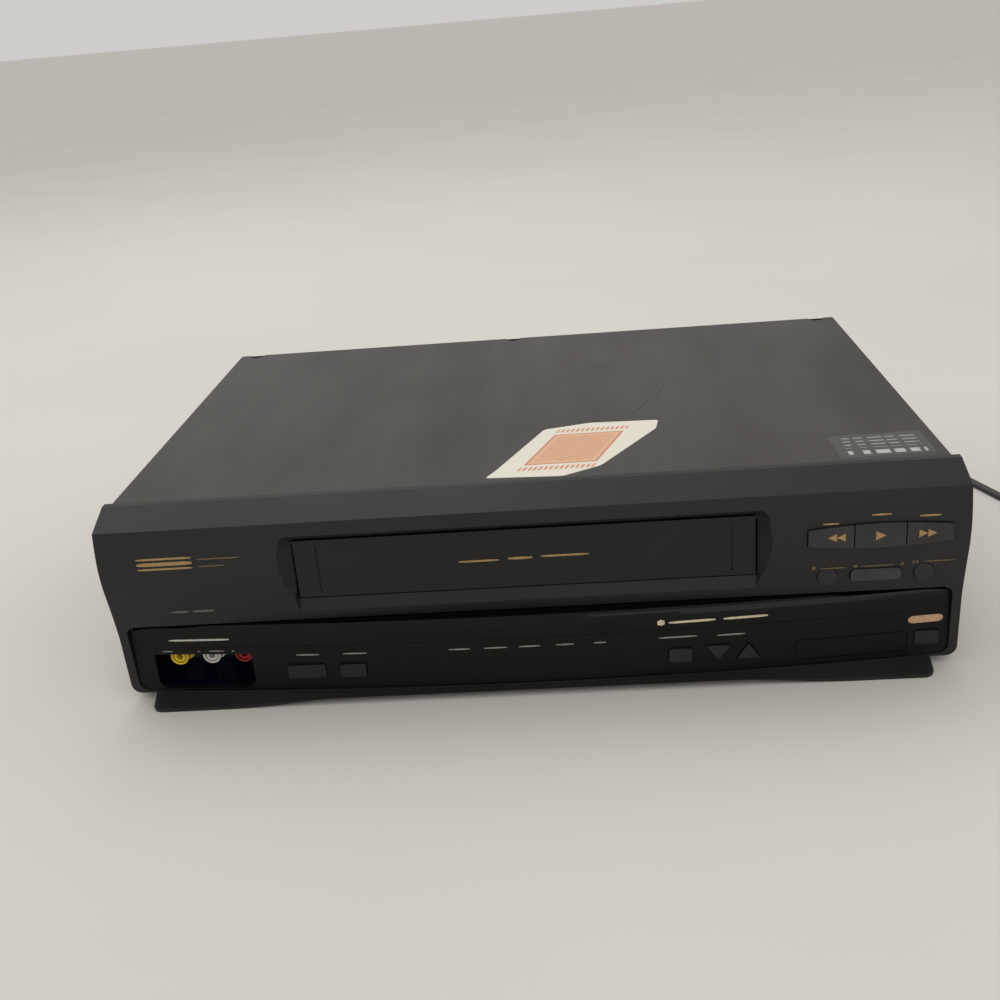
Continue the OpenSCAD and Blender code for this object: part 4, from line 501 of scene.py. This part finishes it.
def button_plastic(look, lift):
    """Satin plastic with fingertip polish on the face."""
    color = shade(look.button, lift)
    finish = Finish("button plastic %.1f" % lift, color, rough=0.34, Specular_IOR_Level=0.35)
    grain = finish.noise(1500, 2, 0.6)
    polish = finish.noise(90, 2).fade(0.35, 0.7)
    finish.put(Base_Color=finish.mix(polish, shade(color, 0.9), shade(color, 1.12)),
               Roughness=finish.blend(polish, 0.38, 0.26) + grain * 0.06)
    return finish.bump(grain, 0.00002, 0.4)


def ink(name, color, rough=0.35):
    """Printed ink, a little thin in places."""
    finish = Finish(name, color, rough=rough)
    wear = finish.noise(900, 2, 0.6).fade(0.35, 0.65)
    finish.put(Base_Color=finish.mix(wear, shade(color, 0.78), color[:]),
               Roughness=finish.blend(wear, rough + 0.1, rough))
    return finish


def zinc_sheet(name, color, rough=0.34):
    """Zinc-plated sheet steel with a soft spangle."""
    finish = Finish(name, color, rough=rough, metal=1.0)
    spangle = finish.node("ShaderNodeTexVoronoi", None, {"Vector": finish.spot(), "Scale": 130},
                          "Color")
    tone = finish.node("ShaderNodeSeparateColor", None, {0: spangle})
    fine = finish.noise(900, 2, 0.5, (1, 0.08, 1))
    color_mix = finish.mix(tone * 0.35 + fine * 0.2, shade(color, 0.82), shade(color, 1.1))
    finish.put(Base_Color=color_mix, Roughness=finish.blend(tone, rough - 0.06, rough + 0.08))
    return finish.bump(fine, 0.00001, 0.5)


def turned_metal(name, color, rough=0.22, scale=1600):
    """Ground or turned metal with fine tool marks."""
    finish = Finish(name, color, rough=rough, metal=1.0)
    marks = finish.noise(scale, 2, 0.6, (0.06, 0.06, 1))
    cloud = finish.noise(60, 2).fade(0.3, 0.7)
    finish.put(Base_Color=finish.mix(marks * 0.5, shade(color, 0.85), shade(color, 1.08)),
               Roughness=finish.blend(cloud, rough, rough + 0.09))
    return finish.bump(marks, 0.000008, 0.5)


def moulded(name, color, rough=0.42):
    """Plain engineering plastic with a faint sheen and moulding texture."""
    finish = Finish(name, color, rough=rough)
    grain = finish.noise(1100, 3, 0.6)
    cloud = finish.noise(70, 2)
    finish.put(Base_Color=finish.mix(cloud.fade(0.3, 0.7), shade(color, 0.86), shade(color, 1.1)),
               Roughness=finish.blend(grain, rough - 0.05, rough + 0.08))
    return finish.bump(grain, 0.00002, 0.5)


def rubber(name, color, rough=0.62):
    """Matt rubber with a dusty bloom."""
    finish = Finish(name, color, rough=rough)
    bloom = finish.noise(160, 4, 0.6).fade(0.4, 0.8)
    grain = finish.noise(1300, 2, 0.6)
    finish.put(Base_Color=finish.mix(bloom * 0.35, color[:], (0.07, 0.068, 0.065)),
               Roughness=finish.blend(bloom, rough - 0.06, rough + 0.1))
    return finish.bump(grain, 0.00003, 0.5)


def board_laminate(name, sheet=None):
    """Phenolic board with tracks; parts stand above it, or outside an upright board's depths."""
    finish = Finish(name, (0.20, 0.13, 0.05), rough=0.5)
    weave = finish.noise(400, 2, 0.5, (1, 0.3, 1))
    tracks = finish.node("ShaderNodeTexVoronoi", {"feature": "DISTANCE_TO_EDGE"},
                         {"Vector": finish.spot(), "Scale": 190})
    track = 1 - tracks.fade(0.02, 0.05)
    z = finish.axis("Z")
    raised = 1 - finish.axis("Y").between(*sheet) if sheet else z > 0.0128
    base = finish.mix(weave, (0.15, 0.095, 0.035), (0.24, 0.16, 0.065))
    base = finish.mix(track * 0.5 * (1 - raised), base, (0.34, 0.25, 0.11))
    parts = finish.mix(z.fade(0.016, 0.03), (0.012, 0.012, 0.013), (0.02, 0.03, 0.07))
    finish.put(Base_Color=finish.mix(raised, base, parts),
               Roughness=finish.blend(weave, 0.36, 0.5))
    return finish.bump(track * 0.6 + weave * 0.3, 0.00004, 0.6)


# ------------------------------------------------------------------ camera and stage

class RECORDER_OT_stage(bpy.types.Operator):
    """Set up the floor, the soft lamps and the camera"""
    bl_idname = "recorder.stage"
    bl_label = "Stage"

    def execute(self, context):
        look = context.scene.recorder_stage
        # The camera was solved from the recorder's corners in the photo
        turn = Vector((1.96231404, -0.00892691776, -0.108576897))
        to_camera = Matrix.Rotation(turn.length, 3, turn.normalized())
        data = bpy.data.cameras.new("Camera")
        data.lens = 43.2
        data.sensor_width = 36
        data.clip_start = 0.02
        camera = bpy.data.objects.new("Camera", data)
        camera.matrix_world = Matrix.Translation(place(28.60, -474.49, 289.74)) @ (
            to_camera.transposed() @ Matrix.Diagonal((1, -1, -1))).to_4x4()
        context.collection.objects.link(camera)
        context.scene.camera = camera

        finish = Finish("pale floor", look.floor, rough=0.85)
        cloud = finish.noise(3, 4)
        finish.put(Base_Color=finish.mix(cloud.fade(0.3, 0.7), shade(look.floor, 0.97),
                                         look.floor[:]))
        finish.bump(finish.noise(240, 3), 0.0003, 0.2)
        bm = bmesh.new()
        bmesh.ops.create_grid(bm, x_segments=2, y_segments=2, size=30)
        mesh = bpy.data.meshes.new("floor")
        bm.to_mesh(mesh)
        bm.free()
        mesh.materials.append(finish.material)
        floor = bpy.data.objects.new("floor", mesh)
        context.collection.objects.link(floor)

        def lamp(name, power, width, spot, aim):
            light = bpy.data.lights.new(name, "AREA")
            light.energy = power
            light.size = width
            made = bpy.data.objects.new(name, light)
            made.location = spot
            made.rotation_euler = (Vector(aim) - Vector(spot)).to_track_quat("-Z", "Y").to_euler()
            context.collection.objects.link(made)

        lamp("key lamp", look.key, 1.6, (-0.5, 0.7, 1.7), (0, 0, 0))
        lamp("fill lamp", look.fill, 1.2, (0.7, -1.3, 1.0), (0, 0, 0.05))

        world = bpy.data.worlds.new("Room")
        context.scene.world = world
        world.use_nodes = True
        tree = world.node_tree
        sky = tree.nodes["Background"]
        sky.inputs["Color"].default_value = (1, 0.985, 0.96, 1)
        sky.inputs["Strength"].default_value = 0.62
        context.scene.view_settings.view_transform = "Standard"
        return {"FINISHED"}


# ------------------------------------------------------------------ mains lead

LEAD_POINTS = [
    (148, 286.8, 30), (148, 294.8, 30), (149, 306, 28), (154, 315, 22), (161, 323, 14),
    (172, 329, 6), (186, 329, 1.4), (200, 322, 1.4), (213, 309, 1.4), (225, 291, 1.4),
    (237, 268, 1.4), (249, 241, 1.4), (259, 215, 1.4), (268, 190, 1.4), (276.5, 168, 1.4),
    (284, 153, 1.4), (287, 142, 1.4)]
COIL_RADIUS = 22.0
LOOP_PITCH = 6.0
LOOPS = 3.5
LAYER_RISE = 3.5
COIL_ENTRY = (287, 136, SHEATH_REST)
COIL_TAIL = [(-1.4, -9, 3.7), (-4, -18, 4.7), (-6, -27, 5.2), (-6.6, -34, 5.6), (-6.6, -40, 5.6)]


def coil_point(angle):
    """A point of the coil: a spiral in, a climb at the middle and a spiral out on top."""
    from_middle = angle - LOOPS * 360
    r = COIL_RADIUS + LOOP_PITCH * abs(from_middle) / 360
    climb = min(max((from_middle + 90) / 180, 0), 1)
    a = math.radians(angle)
    reach = COIL_RADIUS + LOOP_PITCH * LOOPS
    return (COIL_ENTRY[0] + reach - r * math.cos(a), COIL_ENTRY[1] - 6 - r * math.sin(a),
            SHEATH_REST + climb * LAYER_RISE)


class RECORDER_OT_lead(bpy.types.Operator):
    """Lay the flat twin lead from the back, round to its coil and plug"""
    bl_idname = "recorder.lead"
    bl_label = "Mains lead"

    def execute(self, context):
        look = context.scene.recorder_lead
        route = [Vector((p[0], p[1], max(p[2], SHEATH_REST))) for p in spline(LEAD_POINTS, 3)]
        route.append(Vector(COIL_ENTRY))
        steps = 36
        turns = [coil_point(i * 360 / steps) for i in range(int(LOOPS * 2 * steps) + 1)]
        end = turns[-1]
        tail = [(end[0] + x, end[1] + y, SHEATH_REST + z) for x, y, z in COIL_TAIL]
        tail = spline([end, *tail], 3)[1:]
        path = [place(*p) for p in [*route, *turns, *tail]]
        w, t = look.width / 2, look.thickness / 2
        ring = []
        for k in range(24):
            a = math.tau * (k + 0.5) / 24
            across = w * math.cos(a)
            waist = 1 - 0.42 * math.exp(-(across / (w * 0.17)) ** 2)
            ring.append((across, t * math.copysign(abs(math.sin(a)) ** 0.62, math.sin(a)) * waist))
        bm = bmesh.new()
        sweep(bm, path, ring)
        sheath = rubber("lead sheath", look.sheath, 0.42)
        lead = new_piece("mains_lead", bm, sheath, "case")
        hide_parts("cord_lead", "cord_coil")

        bm = bmesh.new()
        profile = [(0, -4), (6.4, -4), (6.4, -1.3), (4.9, -1.3), (4.9, 0.1), (6, 0.1), (6, 1.8),
                   (5.7, 2.3)]
        for i in range(6):
            z, r = 2.9 + i * 3.0, 5.5 - i * 0.36
            profile += [(r - 1.2, z), (r - 1.3, z + 0.7), (r, z + 1.0), (r - 0.1, z + 2.7)]
        profile += [(3.4, 21.2), (3.3, 23.4), (2.9, 24), (0, 24)]
        lathe(bm, [(r / 1000, h / 1000) for r, h in profile], place(*LEAD_EXIT),
              Vector((0, 1, 0)))
        relief = new_piece("strain_relief_sleeve", bm, sheath, "case")
        soften(relief, 0.00015, 40)
        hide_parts("strain_relief")

        finish = rubber("plug moulding", look.sheath, 0.4)
        blade = finish.axis("Y") < (end[1] + COIL_TAIL[-1][1] - PLUG_BODY + EDGE_Y) / 1000
        finish.put(Metallic=blade)
        brass = finish.mix(finish.noise(300, 2), (0.58, 0.43, 0.19), (0.72, 0.56, 0.28))
        old = finish.shader.inputs["Base Color"].links[0].from_socket
        finish.put(Base_Color=finish.mix(blade, Signal(finish, old), brass))
        soften(paint("plug", finish), 0.0006, 30)

        return {"FINISHED"}


# ------------------------------------------------------------------ casing

class RECORDER_OT_casing(bpy.types.Operator):
    """Finish the cover, bezel, panel, window and door"""
    bl_idname = "recorder.casing"
    bl_label = "Casing"

    def execute(self, context):
        look, _ = settings(context)
        soften(paint("top_cover", cover_paint(look)), look.rounding)
        soften(paint("front_bezel", bezel_plastic(look)), look.rounding, 40)
        soften(paint("control_panel", panel_plastic(look)), look.rounding * 0.7, 40)
        soften(paint("display_window", smoked_window(look)), look.rounding * 0.7, 40)
        soften(paint("cassette_door", door_plastic(look)), look.rounding, 40)
        sheet = zinc_sheet("chassis zinc", (0.52, 0.53, 0.55))
        for node in ("bottom_chassis", "rear_panel"):
            paint(node, sheet)
        paint("rear_feet", rubber("foot rubber", (0.022, 0.022, 0.022)))
        # Near-black plates just inside the cover's three back notches: painted shade for the wells,
        # which are open in the solids
        bm = bmesh.new()
        for x in NOTCH_XS:
            slab(bm, (x - 4.6, COVER_BACK - 0.8, 91.8), (x + 4.6, COVER_BACK - 0.2, 94.7))
        notch_shade = moulded("painted notch shade", (0.006, 0.006, 0.006), 0.6)
        new_piece("notch_shade_plates", bm, notch_shade, "case", smooth=False)
        return {"FINISHED"}


class RECORDER_OT_screws(bpy.types.Operator):
    """Put domed cross-head screws where the plain ones hold the cover"""
    bl_idname = "recorder.screws"
    bl_label = "Cover screws"

    def execute(self, context):
        spots = [(side * COVER_HALF, y, SIDE_SCREW_Z, (side, 0, 0))
                 for side in (-1, 1) for y in (90, 224)]
        spots += [(x, COVER_BACK, BACK_SCREW_Z, (0, 1, 0)) for x in NOTCH_XS]
        black = turned_metal("black oxide", (0.035, 0.035, 0.037), 0.38, 700)
        heads = bmesh.new()
        for x, y, z, way in spots:
            lathe(heads, [(0, -0.0038), (0.0009, -0.0036), (0.00125, -0.003), (0.00125, 0),
                          (0.0031, 0), (0.0031, 0.0006), (0.0028, 0.0012), (0.0021, 0.0016),
                          (0.0011, 0.00168), (0, 0.0017)], place(x, y, z), Vector(way), 32)
        screws = new_piece("cover_screw_heads", heads, black, "case")
        cutters = bmesh.new()
        for x, y, z, way in spots:
            turn = Vector((0, 0, 1)).rotation_difference(Vector(way)).to_matrix().to_4x4()
            for wide, high in ((0.0030, 0.0007), (0.0007, 0.0030)):
                made = bmesh.ops.create_cube(cutters, size=1)["verts"]
                bmesh.ops.scale(cutters, verts=made, vec=(wide, high, 0.0022))
                bmesh.ops.transform(cutters, verts=made,
                                    matrix=Matrix.Translation(place(x, y, z)) @ turn
                                    @ Matrix.Translation((0, 0, 0.0019)))
        cross = new_piece("screw_crosses", cutters, black, "case", smooth=False)
        cut = screws.modifiers.new("Cross", "BOOLEAN")
        cut.object = cross
        cut.operation = "DIFFERENCE"
        cut.solver = "EXACT"
        cut.use_self = True
        bpy.context.view_layer.update()
        whole = bpy.data.meshes.new_from_object(
            screws.evaluated_get(context.evaluated_depsgraph_get()))
        screws.modifiers.clear()
        screws.data = whole
        bpy.data.objects.remove(cross)
        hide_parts("cover_screws")
        return {"FINISHED"}


BUTTONS = {"power_button": 0.8, "source_button": 0.8, "tape_speed_button": 1.1,
           "channel_down_button": 1.1, "channel_up_button": 0.95, "auto_return_button": 0.8,
           "rewind_button": 2.0, "play_button": 2.0, "fast_forward_button": 2.0,
           "record_button": 1.3, "stop_eject_button": 2.8, "pause_button": 1.3}


class RECORDER_OT_buttons(bpy.types.Operator):
    """Finish the buttons, their switches and the phono sockets, front and back"""
    bl_idname = "recorder.buttons"
    bl_label = "Buttons and sockets"

    def execute(self, context):
        look, _ = settings(context)
        made = {}
        for node, lift in BUTTONS.items():
            if lift not in made:
                made[lift] = button_plastic(look, lift)
            soften(paint(node, made[lift]), 0.0004, 35)
        paint("tact_switches", moulded("switch plastic", (0.02, 0.02, 0.021)))
        jacks = {"video": (0.74, 0.55, 0.03), "audio_left": (0.78, 0.77, 0.73),
                 "audio_right": (0.40, 0.015, 0.02)}
        for name, color in jacks.items():
            finish = moulded(name + " socket", color, 0.3)
            soften(paint("front_%s_jack" % name, finish), 0.0002, 40)
            soften(paint("rear_%s_jacks" % name, finish), 0.0002, 40)
        return {"FINISHED"}


# ------------------------------------------------------------------ printed marks

class RECORDER_OT_marks(bpy.types.Operator):
    """Print the symbols and plain rules on the front"""
    bl_idname = "recorder.marks"
    bl_label = "Printed marks"

    def execute(self, context):
        _, look = settings(context)
        gold, pale = ink("gold ink", look.gold), ink("pale ink", look.pale)
        dim = ink("dim ink", shade(look.gold, 0.4))
        proud = look.ink

        def mark(name, finish, body, depth, *columns):
            bm = bmesh.new()
            for strip in columns:
                print_strip(bm, strip, depth, proud)
            return new_piece(name, bm, finish, body, smooth=False)

        def upper(x, z):
            return face_y(z)

        def lower(x, z):
            return panel_y(x)

        def window(x, z):
            return panel_y(x) - 1.8

        for name, node, strips in (
                ("rewind_symbol", "rewind_button",
                 [triangle(133.6, 129.9, 69.2, 3.6), triangle(137.3, 133.6, 69.2, 3.6)]),
                ("play_symbol", "play_button", [triangle(150.0, 154.2, 69.2, 4.2)]),
                ("forward_symbol", "fast_forward_button",
                 [triangle(168.0, 171.7, 69.2, 3.6), triangle(171.7, 175.4, 69.2, 3.6)])):
            front = cap_y(node)
            mark(name, gold, node.replace("_button", "_cap"), lambda x, z: front,
                 *[sorted(s) for s in strips])
        mark("upper_rules", gold, "case", upper, rule(128, 134.6, 75.2, 0.8),
             rule(148.3, 156.5, 78.3, 0.8), rule(168.2, 177.2, 76.8, 0.8))
        mark("lower_symbols", dim, "case", upper, disc(124.9, 53.5, 0.9),
             rule(127.5, 138.5, 53.0, 0.6), rule(141.9, 143.5, 53.4, 1.6),
             rule(145.5, 158.8, 53.2, 0.6), upright(162.6, 53.8, 2.2, 1.7, 1),
             rule(166.9, 167.7, 54.3, 1.8), rule(168.4, 169.2, 54.3, 1.8),
             rule(171.5, 184.5, 54.2, 0.6))
        mark("left_rules", gold, "case", upper, rule(-172, -147, 76.0, 0.9),
             rule(-172, -147, 73.6, 1.7), rule(-172, -147, 71.2, 0.9))
        mark("left_small_rules", dim, "case", upper, rule(-144.6, -125.4, 75.0, 0.6),
             rule(-144.6, -132.4, 71.6, 0.6))
        mark("corner_rules", ink("grey ink", (0.13, 0.13, 0.12)), "case", upper,
             rule(-162, -154, 47.5, 1.2), rule(-152.4, -142.6, 47.5, 1.2))
        mark("door_rules", gold, "door", lambda x, z: 3.5, rule(-29.5, -11.6, 64.2, 0.9),
             rule(-7.7, 3.2, 64.6, 1.2), rule(6.9, 28, 64.9, 0.9))
        mark("window_rules", ink("bright ink", (0.72, 0.62, 0.42)), "case", window,
             rule(56.4, 59.6, 32.6, 3.0, 0.01), rule(61.5, 82, 32.4, 1.1, 0.01),
             rule(85.5, 105, 32.6, 1.1, 0.01))
        mark("recess_rule", pale, "case", window, rule(-166.6, -137.8, 32.6, 0.9, 0.012))
        mark("panel_rules", ink("panel ink", shade(look.pale, 0.55)), "case", lower,
             rule(-108, -97.2, 23.2, 0.7), rule(-86, -75, 23.3, 0.7),
             *[rule(a, b, 23.6, 0.7) for a, b in ((-37.3, -27.7), (-21.4, -11), (-5.6, 3.9),
                                                (11.1, 19.1), (28, 33.4))],
             rule(57, 73.9, 24.0, 0.7), rule(82.8, 95.2, 23.5, 0.7),
             rule(-171.4, -166.5, 25.9, 0.6), rule(-154.3, -153.2, 25.9, 0.6),
             rule(-149, -141.8, 25.9, 0.6), rule(-138, -136.9, 25.9, 0.6))
        badge = [(x, 23.4 - h, 23.4 + h) for x, h in (
            (167.6, 0.5), (168.0, 1.1), (168.8, 1.6), (169.8, 1.8), (175, 1.8), (180.8, 1.8),
            (181.8, 1.6), (182.6, 1.1), (183.0, 0.5))]
        mark("badge", ink("badge ink", look.badge), "case", lower, badge)
        return {"FINISHED"}


# ------------------------------------------------------------------ labels on the cover

def flat_piece(name, outline, finish, thickness, z=LID_Z):
    """A thin sheet on the cover with this outline of (x, y) in millimetres."""
    bm = bmesh.new()
    low = [bm.verts.new(place(x, y, z - 0.02)) for x, y in outline]
    high = [bm.verts.new(place(x, y, z + thickness)) for x, y in outline]
    bm.faces.new(high)
    bm.faces.new(low[::-1])
    for i in range(len(outline)):
        j = (i + 1) % len(outline)
        bm.faces.new((low[i], low[j], high[j], high[i]))
    return new_piece(name, bm, finish, "case", smooth=False)


def rounded_outline(corners, radius, steps=5):
    """Cuts the corners of an outline with short curves."""
    out = []
    for i, corner in enumerate(corners):
        p = Vector(corner)
        a = Vector(corners[i - 1]) - p
        b = Vector(corners[(i + 1) % len(corners)]) - p
        a, b = p + a.normalized() * radius, p + b.normalized() * radius
        for k in range(steps + 1):
            t = k / steps
            out.append(a * (1 - t) ** 2 + 2 * p * t * (1 - t) + b * t * t)
    return out


class RECORDER_OT_labels(bpy.types.Operator):
    """Stick the printed label and the clear label on the cover"""
    bl_idname = "recorder.labels"
    bl_label = "Cover labels"

    def execute(self, context):
        _, look = settings(context)
        white, orange = (0.92, 0.87, 0.75), look.label[:]
        paper = Finish("printed label", white, rough=0.3)
        x = paper.axis("X") * 1000 - PRINTED_LABEL[0]
        y = paper.axis("Y") * 1000 - EDGE_Y - PRINTED_LABEL[1]
        x = x - y * PRINTED_SLANT

        def box(across, up, edge):
            return (1 - abs(x).fade(across, across + edge)) * (1 - abs(y).fade(up, up + edge))

        ripple = x.math("SINE", x * 0.42) * 1.7
        waves = abs(x.math("PINGPONG", y + ripple + 60, 2.6) - 1.3)
        tiles = box(16.5, 19.5, 0.4) - box(15.4, 18.4, 0.4)
        color = paper.mix(box(15.4, 18.4, 0.4), white, shade(look.badge, 1.35))
        color = paper.mix(box(13.2, 16.2, 0.5) * waves.fade(0.75, 1.05), color, orange)
        bars = abs(x.math("PINGPONG", x + 60, 2.4) - 1.2).fade(0.4, 0.7)
        ends = abs(abs(y) - 24.5).fade(2.4, 2.0) * abs(x).fade(17.5, 17.0)
        color = paper.mix(tiles, color, shade(orange, 0.9))
        color = paper.mix(ends * bars * 0.9, color, orange)
        fibres = paper.noise(500, 3, 0.6)
        paper.put(Base_Color=paper.mix(fibres * 0.06, color, (0.5, 0.45, 0.38)),
                  Roughness=paper.blend(fibres, 0.28, 0.42))
        paper.bump(fibres, 0.00002, 0.4)
        flat_piece("printed_label", rounded_outline(
            [(-16.3, 24.2), (18.5, 21.6), (35.8, 32.0), (63.8, 77.5), (65.8, 89.6), (32.3, 91.4),
             (9.6, 85.2), (-11.8, 33.0)], 2.2), paper, 0.08)

        lid = context.scene.recorder_casing.lid
        clear = Finish("clear label", shade(lid, 1.1), rough=0.2, Specular_IOR_Level=0.3)
        x = clear.axis("X") * 1000
        y = clear.axis("Y") * 1000 - EDGE_Y
        row = abs(y.math("PINGPONG", y - 36.5, 4.2) - 2.1)
        thin = (1 - row.fade(0.5, 0.75)) * y.between(34.5, 49.5) * x.between(144, 178)
        thick = y.between(26.6, 31.0) * x.between(143.5, 179)
        broken = clear.noise(260, 1, 0.5, (1, 0.05, 1)).fade(0.42, 0.5)
        fine = clear.noise(420, 2)
        clear.put(Base_Color=clear.mix((thin * 0.5 + thick * 0.85) * broken, shade(lid, 1.1),
                                       (0.60, 0.60, 0.58)),
                  Roughness=clear.blend(fine, 0.12, 0.24))
        flat_piece("clear_label", rounded_outline(
            [(140.5, 22.5), (182, 24.5), (181.3, 52.5), (139.5, 50.5)], 1.5), clear, 0.05)
        return {"FINISHED"}


# ------------------------------------------------------------------ inside

class RECORDER_OT_deck(bpy.types.Operator):
    """Finish the tape deck"""
    bl_idname = "recorder.deck"
    bl_label = "Tape deck"

    def execute(self, context):
        zinc = zinc_sheet("deck zinc", (0.56, 0.57, 0.58))
        tin = zinc_sheet("holder tin", (0.62, 0.63, 0.64), 0.28)
        black = moulded("black acetal", (0.028, 0.028, 0.03))
        natural = moulded("natural acetal", (0.62, 0.60, 0.52), 0.36)
        ground = turned_metal("ground steel", (0.62, 0.62, 0.63), 0.16)
        drum = turned_metal("turned alloy", (0.66, 0.67, 0.69), 0.2, 2600)
        soft = rubber("drive rubber", (0.016, 0.016, 0.016), 0.5)
        for node, finish in {
                "deck_plate": zinc, "side_bracket_left": zinc, "side_bracket_right": zinc,
                "tension_arm": zinc, "pinch_lever": zinc, "cassette_holder": tin,
                "holder_slides": black, "supply_reel": black, "take_up_reel": black,
                "idler_gear": natural, "loading_worm": natural, "cam_gear": natural,
                "lift_shaft": ground, "capstan": ground, "supply_guide": ground,
                "take_up_guide": ground, "erase_head": ground, "audio_head": ground,
                "lower_drum": drum, "upper_drum": drum, "pinch_roller": soft, "drive_belt": soft,
                "loading_motor": turned_metal("motor can", (0.48, 0.48, 0.49), 0.3)}.items():
            paint(node, finish)
        return {"FINISHED"}


class RECORDER_OT_electrics(bpy.types.Operator):
    """Finish the boards, transformer, tuner can and antenna connectors"""
    bl_idname = "recorder.electrics"
    bl_label = "Electrics"

    def execute(self, context):
        laminate = board_laminate("phenolic board")
        for node in ("main_board", "power_board"):
            paint(node, laminate)
        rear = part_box("front_board")[1].y - 0.006
        paint("front_board", board_laminate("upright board", (rear - 0.0017, rear + 0.0001)))
        core = Finish("transformer core", (0.10, 0.10, 0.105), rough=0.4, metal=0.6)
        sheets = core.noise(900, 1, 0.5, (1, 12, 0.02))
        core.put(Base_Color=core.mix(sheets, (0.06, 0.06, 0.065), (0.16, 0.16, 0.17)))
        core.bump(sheets, 0.00004, 0.6)
        paint("power_transformer", core)
        can = zinc_sheet("tuner can", (0.60, 0.60, 0.58), 0.3)
        paint("tuner_module", can)
        return {"FINISHED"}


# ------------------------------------------------------------------ panel and registration

STEPS = ("recorder.stage", "recorder.lead", "recorder.casing", "recorder.screws",
         "recorder.buttons", "recorder.marks", "recorder.labels", "recorder.deck",
         "recorder.electrics")


class RECORDER_PT_panel(bpy.types.Panel):
    """Lists the recorder's pieces in the sidebar"""
    bl_idname = "RECORDER_PT_panel"
    bl_label = "Video Cassette Recorder"
    bl_space_type = "VIEW_3D"
    bl_region_type = "UI"
    bl_category = "Recorder"

    def draw(self, context):
        for step in STEPS:
            self.layout.operator(step)
        for group in ("recorder_casing", "recorder_print", "recorder_lead", "recorder_stage"):
            box = self.layout.box()
            owner = getattr(context.scene, group)
            for name in owner.__annotations__:
                box.prop(owner, name)


CLASSES = (CasingLook, PrintLook, LeadLook, StageLook, RECORDER_OT_stage, RECORDER_OT_lead,
           RECORDER_OT_casing, RECORDER_OT_screws, RECORDER_OT_buttons, RECORDER_OT_marks,
           RECORDER_OT_labels, RECORDER_OT_deck, RECORDER_OT_electrics, RECORDER_PT_panel)


def register():
    for cls in CLASSES:
        bpy.utils.register_class(cls)
    bpy.types.Scene.recorder_casing = PointerProperty(type=CasingLook)
    bpy.types.Scene.recorder_print = PointerProperty(type=PrintLook)
    bpy.types.Scene.recorder_lead = PointerProperty(type=LeadLook)
    bpy.types.Scene.recorder_stage = PointerProperty(type=StageLook)


def unregister():
    for name in ("recorder_stage", "recorder_lead", "recorder_print", "recorder_casing"):
        delattr(bpy.types.Scene, name)
    for cls in reversed(CLASSES):
        bpy.utils.unregister_class(cls)


def main():
    register()
    for step in STEPS:
        group, name = step.split(".")
        getattr(getattr(bpy.ops, group), name)()


if __name__ == "__main__":
    main()
